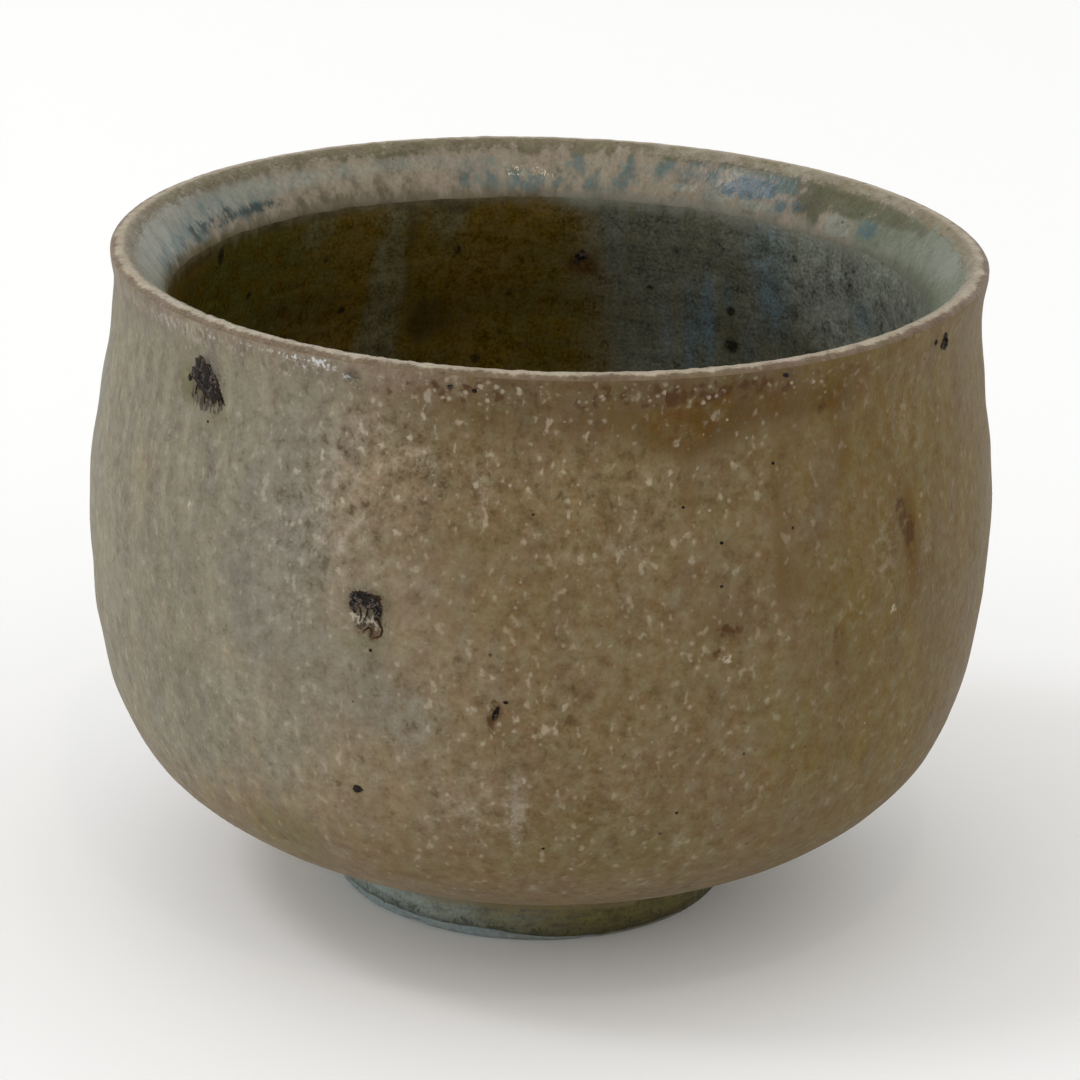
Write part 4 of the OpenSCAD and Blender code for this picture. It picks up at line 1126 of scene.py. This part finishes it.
# The clay under the coats: coarse where glaze hides it, turned and dry in the foot's recess
claySet = {
    "inset": 0.12 * mm,  # behind the coats' faces
    "spiralDepth": 0.06 * mm, "spiralGap": 1.3 * mm,
    "nib": 0.35 * mm,  # the little rise that a trimming tool leaves in the middle
    "nibWide": 1.1 * mm,
    "calm": 2 * mm,  # how near the middle the spiral fades
    "recessGap": 0.5 * mm,  # between the recess and the glaze at the foot
    "recessLift": 0.12 * mm,
    "recessRings": 46,
    "grit": 0.02 * mm,
    "seed": 11,
}
footShape = {
    "segments": 420,
    "turningDepth": 0.035 * mm, "turningGap": 0.8 * mm,
    "grit": 0.03 * mm,
    # azimuth, half width, depth in mm
    "chips": [(-34, 0.7, 0.25), (18, 0.5, 0.2), (118, 0.9, 0.3), (-150, 0.6, 0.25), (205, 0.5, 0.2)],
    "seed": 5,
}


def clayBowl():
    grid = moved - normals * claySet["inset"]
    first = int(np.argmax(coats == 1))
    rowPick = np.unique(np.concatenate([np.arange(first, len(rows) - 1, 3), [len(rows) - 2]]))
    colPick = np.arange(0, around, 4)
    outside = grid[rowPick][:, colPick]
    n = len(colPick)
    # the recess: from the inside of the foot to the middle, as a finer disc
    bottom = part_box("clay_bowl")[0].z
    rim = outside[0]
    shares = np.linspace(1, 0, claySet["recessRings"], endpoint=False)[1:]
    angle = np.arctan2(rim[:, 0], -rim[:, 1])
    rimR = np.hypot(rim[:, 0], rim[:, 1]).mean() - claySet["recessGap"]
    discs = []
    noise = np.random.default_rng(claySet["seed"])
    for share in shares:
        radius = rimR * share
        turnsIn = radius / claySet["spiralGap"] + angle / (2 * math.pi)
        lift = claySet["spiralDepth"] * np.cos(2 * math.pi * turnsIn) * min(1, radius / claySet["calm"])
        lift = lift - claySet["nib"] * math.exp(-(radius / claySet["nibWide"]) ** 2)
        lift = lift + noise.normal(0, claySet["grit"], n) * 0.5
        discs.append(turned(radius, bottom + claySet["recessLift"] + lift, angle))
    rings = np.array(discs[::-1])
    points = np.vstack([rings.reshape(-1, 3), outside.reshape(-1, 3)])
    count = len(rings) + len(outside)
    middle = [[0, 0, rings[0][:, 2].mean()], [0, 0, outside[-1][:, 2].mean()]]
    points = np.vstack([points, middle])
    ring = np.arange(n)
    nextRing = (ring + 1) % n
    lastRow = (count - 1) * n
    triangles = np.vstack([
        np.column_stack([nextRing, ring, np.full(n, len(points) - 2)]),
        np.column_stack([lastRow + ring, lastRow + nextRing, np.full(n, len(points) - 1)]),
    ])
    mesh = meshFrom("clay_body", points, gridFaces(count, n), triangles)
    mesh.materials.append(clayMaterial)
    made = placeObject("clay_body", mesh)
    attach(made, body)
    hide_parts("clay_bowl")
    return made


def footRing():
    # the outline of the solid, drawn round and then worked like trimmed clay
    rings = ringsOf("foot_ring")
    middle = rings.mean(0)
    order = np.argsort(np.arctan2(rings[:, 1] - middle[1], rings[:, 0] - middle[0]))
    loop = rings[order]
    loop = np.vstack([loop, loop[:1]])
    along = lengthAlong(loop)
    count = int(along[-1] / (0.16 * mm))
    spots = np.linspace(0, along[-1], count, endpoint=False)
    fine = np.column_stack([np.interp(spots, along, loop[:, k]) for k in (0, 1)])
    # soften its corners a little, keeping the rest face where it is
    for turn in range(3):
        fine = 0.5 * fine + 0.25 * (np.roll(fine, 1, 0) + np.roll(fine, -1, 0))
    fine[:, 1] += loop[:, 1].min() - fine[:, 1].min()
    slope = np.roll(fine, -1, 0) - np.roll(fine, 1, 0)
    slope /= np.hypot(*slope.T)[:, None]
    out = np.column_stack([slope[:, 1], -slope[:, 0]])
    n = footShape["segments"]
    angle = np.arange(n) / n * 2 * math.pi - math.pi
    angles, radii = np.meshgrid(angle, fine[:, 0])
    heights = np.repeat(fine[:, 1:2], n, 1)
    noise = np.random.default_rng(footShape["seed"])
    onRest = smoothStep(heights, 0.02 * mm, 0.35 * mm)
    turnsUp = heights / footShape["turningGap"] + angles / (2 * math.pi)
    push = footShape["turningDepth"] * np.sin(2 * math.pi * turnsUp) * onRest
    push = push + noise.normal(0, footShape["grit"] * 0.4, push.shape) * onRest
    for azimuth, wide, deep in footShape["chips"]:
        turn = np.radians((np.degrees(angles) - azimuth + 180) % 360 - 180) * radii
        nearEdge = np.exp(-((heights / (0.45 * mm)) ** 2)) * (radii > middle[0])
        push = push - deep * mm * np.exp(-(turn / (wide * mm)) ** 2) * nearEdge
    push = np.where(heights < 0.03 * mm, np.maximum(-push, 0) * -1, push)
    points = turned(radii + out[:, 0:1] * push, 0.0, angles)
    points[..., 2] = np.maximum(heights + out[:, 1:2] * push, 0)
    # closed on itself both ways
    quads = gridFaces(len(fine) + 1, n) % (len(fine) * n)
    mesh = meshFrom("turned_foot", points.reshape(-1, 3), quads)
    mesh.materials.append(clayMaterial)
    made = placeObject("turned_foot", mesh)
    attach(made, body)
    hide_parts("foot_ring")
    return made


clayPiece = clayBowl()
footPiece = footRing()
print("clay made:", len(clayPiece.data.polygons), "and", len(footPiece.data.polygons), "faces")


# Iron spots: lumps and threads of melt laid on the thrown wall

def onWall(coat, azimuth, height):
    # the point and the way out of the wall at an azimuth in degrees and a height in metres
    picked = np.where(coats == coat)[0]
    heights = rows[picked, 1]
    order = np.argsort(heights)
    row = np.interp(height, heights[order], picked[order].astype(float))
    col = ((np.asarray(azimuth) + 180) % 360) / 360 * around
    rowLow, colLow = np.floor(row).astype(int), np.floor(col).astype(int)
    rowPart, colPart = (row - rowLow)[..., None], (col - colLow)[..., None]
    rowHigh = np.minimum(rowLow + 1, len(rows) - 1)
    colLow, colHigh = colLow % around, (colLow + 1) % around
    found = []
    for grid in (moved, normals):
        low = grid[rowLow, colLow] * (1 - colPart) + grid[rowLow, colHigh] * colPart
        high = grid[rowHigh, colLow] * (1 - colPart) + grid[rowHigh, colHigh] * colPart
        found.append(low * (1 - rowPart) + high * rowPart)
    return found


ironMelt = {
    "rise": 0.14 * mm,  # of the thickest lump over the glaze
    "sink": 0.12 * mm,  # of each underside below it
    "rimSink": 0.03 * mm,  # of each rim into the glaze
    "threadRise": 0.09 * mm,
    "wallR": 31.5,  # in mm, turns a breadth into degrees
    "ragged": 0.1,  # of the outline, as a share
    "beadShape": (0, [1.0, 0.9, 1.1, 0.9]),  # the tilt and outline of a lump that states none
    "seed": 21,
    # azimuth, height, half width, half height in mm, tilt, then the outline's radii as shares, from the right
    # up and round
    "lumps": [
        (-47.2, 44.35, 1.95, 1.4, -25, [1.0, 0.84, 0.76, 0.9, 1.04, 0.96, 0.84, 0.92, 0.86, 0.8, 0.84,
                                        1.1]),
        (-44.4, 43.55, 0.8, 0.45, -38, [1.15, 0.8, 0.8, 0.9, 1.0, 0.9, 0.7, 0.8]),
        (-50.3, 44.05, 0.3, 0.3, 0, [1.0, 0.7, 1.1, 0.8, 1.0, 0.8]),
        (-20.2, 32.35, 1.35, 0.78, -6, [0.95, 0.9, 1.1, 0.86, 1.0, 0.95, 1.0, 0.9, 0.6, 0.5, 0.5, 0.74,
                                        0.7, 0.9]),
        (-21.6, 31.9, 0.42, 0.62, 8, [0.9, 0.7, 0.9, 0.9, 1.0, 0.6, 0.9, 0.5]),
        (-18.7, 31.75, 0.42, 0.66, -14, [0.9, 0.8, 0.8, 1.0, 0.7, 0.6, 1.1, 0.8]),
        (-21.65, 18.25, 0.44, 0.36, 0, [1.0, 0.9, 1.1, 0.9, 1.0, 1.05, 0.9]),
        (-4.35, 25.35, 0.2, 0.62, -18, [1.0, 0.8, 1.1, 0.9, 1.0, 0.8]),
        (-3.2, 26.25, 0.2, 0.16, 0, [1.0, 0.8, 1.1, 0.9]),
        (60.7, 46.55, 0.62, 0.78, 12, [1.0, 0.8, 1.05, 0.75, 1.0, 0.9, 0.8, 1.0]),
        (58.1, 46.9, 0.2, 0.3, 0, [1.0, 0.8, 1.1, 0.9]), (22.1, 36.9, 0.16, 0.15), (17.3, 39.5, 0.14, 0.13),
        (31.75, 37.2, 0.13, 0.13), (29.3, 41.75, 0.13, 0.13), (-0.7, 39.2, 0.11, 0.1),
        (30.6, 47.75, 0.36, 0.22, -30, [1.0, 0.7, 1.1, 0.9, 1.0, 0.8]), (-8.2, 47.25, 0.2, 0.2),
        (-11.2, 47.4, 0.24, 0.15), (18.2, 17.5, 0.15, 0.15), (16.5, 15.8, 0.15, 0.15),
        (1.8, 14.8, 0.13, 0.12), (-19.4, 29.0, 0.14, 0.15), (-45.9, 41.6, 0.12, 0.12),
        (22.0, 34.0, 0.14, 0.12), (121, 38, 0.9, 0.7, 20, [1.0, 0.8, 1.1, 0.9, 1.0, 0.8, 0.7, 0.9]),
        (-118, 41, 0.7, 0.8, 0, [1.0, 0.8, 1.1, 0.7, 1.0, 0.8]),
        (-150, 25, 0.3, 0.3, 0, [1.0, 0.8, 1.1, 0.9]), (165, 22, 0.22, 0.2, 0, [1.0, 0.8, 1.1, 0.9]),
        (152, 45, 0.25, 0.25, 0, [1.0, 0.8, 1.1, 0.9]),
    ],
    "insideLumps": [
        (174.4, 39.8, 0.62, 0.45, 0, [1.0, 0.8, 1.1, 0.9, 1.0, 0.8, 1.1]),
        (175.2, 39.2, 0.3, 0.24, 0, [1.0, 0.8, 1.1, 0.9]), (114.3, 45.6, 0.2, 0.2),
    ],
    # threads: azimuth and height of points along each, then half width in mm
    "threads": [
        ([(-48.7, 43.8), (-48.9, 43.3), (-48.8, 43.1)], 0.06),
        ([(-46.9, 43.5), (-47.1, 43.0), (-46.8, 42.7)], 0.05), ([(-44.4, 43.3), (-44.1, 42.9)], 0.06),
        ([(-20.9, 31.9), (-20.7, 31.3), (-20.9, 30.9)], 0.09),
        ([(-19.9, 31.9), (-20.0, 31.4), (-20.4, 31.0)], 0.08),
        ([(-18.8, 31.5), (-18.5, 31.0), (-18.0, 30.6), (-18.2, 30.1), (-18.9, 29.9)], 0.1),
        ([(-20.3, 30.3), (-19.7, 30.6), (-19.3, 30.3), (-19.6, 29.9)], 0.08),
    ],
}


def ironSpots():
    noise = np.random.default_rng(ironMelt["seed"])
    points, quads, triangles, rims = [], [], [], []
    total = 0
    for coat, table in ((1, ironMelt["lumps"]), (4, ironMelt["insideLumps"])):
        for azimuth, height, wide, high, *shape in table:
            tilt, shares = shape or ironMelt["beadShape"]
            big = max(wide, high)
            n = 150 if big > 0.6 else 40 if big > 0.25 else 14
            rings = 12 if big > 0.6 else 6 if big > 0.25 else 4
            angle = np.arange(n) / n * 2 * math.pi
            closed = np.append(shares, shares[0])
            outline = np.interp(angle, np.linspace(0, 2 * math.pi, len(closed)), closed)
            for turn in range(n // 12):
                outline = 0.5 * outline + 0.25 * (np.roll(outline, 1) + np.roll(outline, -1))
            if big > 0.25:
                phases = [(k, noise.normal(), noise.uniform(0, 6.3)) for k in range(3, n // 4)]
                rough = sum(size * np.cos(k * angle + phase) / k ** 0.75 for k, size, phase in phases)
                outline = outline * (1 + ironMelt["ragged"] * rough)
            share = np.linspace(0, 1, rings + 1)[1:, None]
            across, up = wide * outline * np.cos(angle) * share, high * outline * np.sin(angle) * share
            turn = math.radians(tilt)
            across, up = (across * math.cos(turn) - up * math.sin(turn),
                          across * math.sin(turn) + up * math.cos(turn))
            rise = ironMelt["rise"] * min(1, 0.45 + big)
            lift = rise * (1 - share ** 3) * (0.75 + 0.25 * noise.normal(0, 1, share.shape))
            lift -= ironMelt["rimSink"] * share ** 4
            lumpy = 1 + 0.35 * np.sin(3.1 * across / wide + 2 * azimuth) * np.cos(3.7 * up / high + azimuth)
            place, out = onWall(coat, azimuth + np.degrees(across / ironMelt["wallR"]), (height + up) * mm)
            heart, heartOut = onWall(coat, np.array(float(azimuth)), np.array(height * mm))
            top = place + out * (lift * lumpy)[..., None]
            under = place[-1] - out[-1] * ironMelt["sink"]
            bottom = heart - heartOut * ironMelt["sink"]
            block = np.vstack([[heart + heartOut * rise], top.reshape(-1, 3), under, [bottom]])
            ring, nextRing = np.arange(n), (np.arange(n) + 1) % n
            quads.append(gridFaces(rings + 1, n, total + 1)[:, ::-1])
            lastRing, bottomAt = total + 1 + rings * n, np.full(n, total + len(block) - 1)
            triangles.append(np.column_stack([np.full(n, total), total + 1 + ring, total + 1 + nextRing]))
            triangles.append(np.column_stack([lastRing + nextRing, lastRing + ring, bottomAt]))
            rims += [0.0] + list(np.repeat(share[:, 0] ** 2, n)) + [1.0] * n + [1.0]
            if big < 0.25:
                rims[-len(block):] = [0.0] * len(block)
            points.append(block)
            total += len(block)
    for path, half in ironMelt["threads"]:
        path = np.array(path, float)
        along = lengthAlong(path * [0.55, 1.0])
        count = max(6, int(along[-1] / 0.08))
        spots = np.linspace(0, along[-1], count)
        line = np.column_stack([np.interp(spots, along, path[:, k]) for k in (0, 1)])
        for turn in range(2):
            line[1:-1] = 0.5 * line[1:-1] + 0.25 * (line[:-2] + line[2:])
        ways = np.gradient(line * [0.55, 1.0], axis=0)
        ways /= np.hypot(*ways.T)[:, None]
        sides = np.linspace(-1, 1, 7)
        taper = half * (1 - 0.55 * np.linspace(0, 1, count) ** 2) * (1 + 0.2 * noise.normal(0, 1, count))
        across = -ways[:, 1:2] * sides * taper[:, None]
        up = ways[:, 0:1] * sides * taper[:, None]
        aside = line[:, 0:1] + np.degrees(across / ironMelt["wallR"])
        place, out = onWall(1, aside, (line[:, 1:2] + up) * mm)
        dome = (ironMelt["threadRise"] * (1 - sides ** 2) - ironMelt["rimSink"] * sides ** 2)[None, :, None]
        top = place + out * dome
        under = (place - out * ironMelt["sink"])[:, [6, 0]]
        block = np.concatenate([top, under], 1).reshape(-1, 3)
        quads.append(gridFaces(count, 9, total))
        for start, flip in ((0, False), ((count - 1) * 9, True)):
            fan = np.array([[0, k + 1, k] for k in range(1, 8)]) + total + start
            triangles.append(fan[:, ::-1] if flip else fan)
        rims += [1.0] * len(block)
        points.append(block)
        total += len(block)
    mesh = meshFrom("iron_bloom", np.vstack(points), np.vstack(quads), np.vstack(triangles))
    setValues(mesh, "rim", rims)
    mesh.materials.append(ironMaterial)
    made = placeObject("iron_bloom", mesh)
    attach(made, body)
    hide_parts("iron_spots")
    return made


ironPiece = ironSpots()
print("iron made:", len(ironPiece.data.polygons), "faces")


# Crystals: Geometry Nodes strew flat grains over the outer face

crystalSet = {
    "count": 520, "small": 0.06 * mm, "large": 0.17 * mm, "squash": 0.4, "sunk": 0.03 * mm, "seed": 3,
    "lowest": 7 * mm, "highest": 47.4 * mm,
    "wallR": 32 * mm, "wallHigh": 40 * mm,  # the stretch that the count is for
    "everywhere": 0.4,
    # where they lie thicker: azimuth, height, half width, half height in mm, how much is added
    "zones": [(-26, 38, 5, 5, 1.6), (0, 40, 14, 8, 0.8), (10, 28, 12, 8, 0.5), (-36, 47.3, 9, 0.9, 14.0),
              (-24, 47.4, 5, 0.6, 8.0), (5, 47.0, 16, 1.0, 2.5), (150, 34, 18, 14, 0.8),
              (-130, 30, 14, 12, 0.6)],
}


def strewTree():
    tree = bpy.data.node_groups.new("strewnCrystals", "GeometryNodeTree")
    face = tree.interface
    face.new_socket("Face", in_out="INPUT", socket_type="NodeSocketGeometry")
    for name in ("Density", "Small", "Large", "Squash"):
        face.new_socket(name, in_out="INPUT", socket_type="NodeSocketFloat")
    face.new_socket("Seed", in_out="INPUT", socket_type="NodeSocketInt")
    face.new_socket("Finish", in_out="INPUT", socket_type="NodeSocketMaterial")
    face.new_socket("Crystals", in_out="OUTPUT", socket_type="NodeSocketGeometry")
    given = tree.nodes.new("NodeGroupInput").outputs
    thick = add(tree, "GeometryNodeInputNamedAttribute", {"data_type": "FLOAT"}, {"Name": "strew"})
    dense = add(tree, "ShaderNodeMath", {"operation": "MULTIPLY"}, {0: thick, 1: given["Density"]})
    strewn = add(tree, "GeometryNodeDistributePointsOnFaces", {"distribute_method": "RANDOM"},
                 {"Mesh": given["Face"], "Density": dense, "Seed": given["Seed"]})
    turn = strewn.node.outputs["Rotation"]
    grain = add(tree, "GeometryNodeMeshIcoSphere", links={"Radius": 1.0, "Subdivisions": 1})
    flat = add(tree, "ShaderNodeCombineXYZ", links={"X": 1.0, "Y": 1.0, "Z": given["Squash"]})
    grain = add(tree, "GeometryNodeTransform", links={"Geometry": grain, "Scale": flat})
    size = add(tree, "FunctionNodeRandomValue", {"data_type": "FLOAT"},
               {2: given["Small"], 3: given["Large"], "Seed": given["Seed"]}, 1)
    laid = add(tree, "GeometryNodeInstanceOnPoints",
               links={"Points": strewn, "Instance": grain, "Rotation": turn, "Scale": size})
    real = add(tree, "GeometryNodeRealizeInstances", links={"Geometry": laid})
    done = add(tree, "GeometryNodeSetMaterial", links={"Geometry": real, "Material": given["Finish"]})
    tree.links.new(done, tree.nodes.new("NodeGroupOutput").inputs[0])
    return tree


def strewCrystals():
    heights = rows[:, 1]
    inside = (heights > crystalSet["lowest"]) & (heights < crystalSet["highest"])
    picked = np.where(inside & (coats == coatNames.index("outer_glaze")))[0]
    base = moved[picked] - normals[picked] * crystalSet["sunk"]
    mesh = meshFrom("strewBase", base.reshape(-1, 3), gridFaces(len(picked), around))
    strew = crystalSet["everywhere"] + zoneField(crystalSet["zones"])
    setValues(mesh, "strew", strew[picked])
    carrier = placeObject("strewBase", mesh)
    area = 2 * math.pi * crystalSet["wallR"] * crystalSet["wallHigh"]
    grains = runTree(carrier, strewTree(), {
        "Density": crystalSet["count"] / area, "Small": crystalSet["small"], "Large": crystalSet["large"],
        "Squash": crystalSet["squash"], "Seed": crystalSet["seed"], "Finish": crystalMaterial,
    })
    bpy.data.objects.remove(carrier)
    grains.name = "ash_crystals"
    grains.polygons.foreach_set("use_smooth", np.full(len(grains.polygons), True))
    made = placeObject("ash_crystals", grains)
    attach(made, body)
    return made


crystalPiece = strewCrystals()
print("crystals made:", len(crystalPiece.data.polygons), "faces")

# Stage, camera and lamps

camera = {
    "aim": (0.11 * mm, 0.0, 25.81 * mm),
    "distance": 300 * mm,
    "elevation": 20.1,
    "roll": 1.73,
    "lens": 135.2,
}
tilt = math.radians(camera["elevation"])
roll = math.radians(camera["roll"])
backWay = Vector((0, -math.cos(tilt), math.sin(tilt)))
rightWay = Vector((1, 0, 0))
aboveWay = backWay.cross(rightWay)
rolledRight = math.cos(roll) * rightWay + math.sin(roll) * aboveWay
rolledUp = -math.sin(roll) * rightWay + math.cos(roll) * aboveWay
lensData = bpy.data.cameras.new("camera")
lensData.lens = camera["lens"]
lensData.sensor_width = 36
lensData.clip_start = 0.01
eye = bpy.data.objects.new("camera", lensData)
bpy.context.scene.collection.objects.link(eye)
where = Vector(camera["aim"]) + camera["distance"] * backWay
eye.matrix_world = Matrix((
    (rolledRight.x, rolledUp.x, backWay.x, where.x),
    (rolledRight.y, rolledUp.y, backWay.y, where.y),
    (rolledRight.z, rolledUp.z, backWay.z, where.z),
    (0, 0, 0, 1),
))
bpy.context.scene.camera = eye

stageSet = {
    "floorSize": 3.0,
    "floor": "#fbfbfa",
    "worldLight": 0.86,
    # power in watts, size in metres, place, colour
    "lamps": {
        "keyLamp": (3.1, 1.6, (-1.1, -0.5, 0.75), "#ffffff"),
        "fillLamp": (0.5, 1.2, (0.9, -0.9, 0.5), "#ffffff"),
        "glintLamp": (2.0, 0.25, (-0.72, -0.13, 1.0), "#f6f8ff"),
        "windowLamp": (0.4, 0.04, (0.12, -0.56, 1.1), "#ffe9c4"),
        "glossLamp": (0.5, 0.045, (-0.9, -0.7, 0.08), "#eaf1ff"),
    },
}


def seenOrMirrored(tree):
    # 1 for what the camera, a mirror or glass sees, 0 for the light that falls on the object
    seen = add(tree, "ShaderNodeLightPath", out="Is Camera Ray")
    rays = seen.node.outputs
    for name in ("Is Glossy Ray", "Is Transmission Ray"):
        seen = add(tree, "ShaderNodeMath", {"operation": "MAXIMUM"}, {0: seen, 1: rays[name]})
    return seen


world = bpy.data.worlds.new("studio")
bpy.context.scene.world = world
world.use_nodes = True
tree = world.node_tree
tree.nodes.clear()
soft = add(tree, "ShaderNodeBackground", links={"Color": tint("#ffffff"), "Strength": stageSet["worldLight"]})
white = add(tree, "ShaderNodeBackground", links={"Color": tint("#ffffff"), "Strength": 1.0})
mixed = add(tree, "ShaderNodeMixShader", links={0: seenOrMirrored(tree), 1: soft, 2: white})
tree.links.new(mixed, tree.nodes.new("ShaderNodeOutputWorld").inputs["Surface"])

half = stageSet["floorSize"]
corners = [[-half, -half, 0], [half, -half, 0], [half, half, 0], [-half, half, 0]]
floorMesh = meshFrom("floor", corners, [[0, 1, 2, 3]], smooth=False)
floor = placeObject("floor", floorMesh)
floorLook = startMaterial("paleFloor", {"roughness": 0.9, "gloss": 0.5})[0]
floorLook.node_tree.nodes["Principled BSDF"].inputs["Base Color"].default_value = tint(stageSet["floor"])
floorMesh.materials.append(floorLook)

for name, (power, size, spot, code) in stageSet["lamps"].items():
    lamp = bpy.data.lights.new(name, "AREA")
    lamp.energy = power
    lamp.size = size
    lamp.color = tint(code)[:3]
    made = bpy.data.objects.new(name, lamp)
    made.location = spot
    made.rotation_euler = (Vector((0, 0, 0.03)) - Vector(spot)).to_track_quat("-Z", "Y").to_euler()
    bpy.context.scene.collection.objects.link(made)
bpy.context.scene.view_settings.view_transform = "Standard"
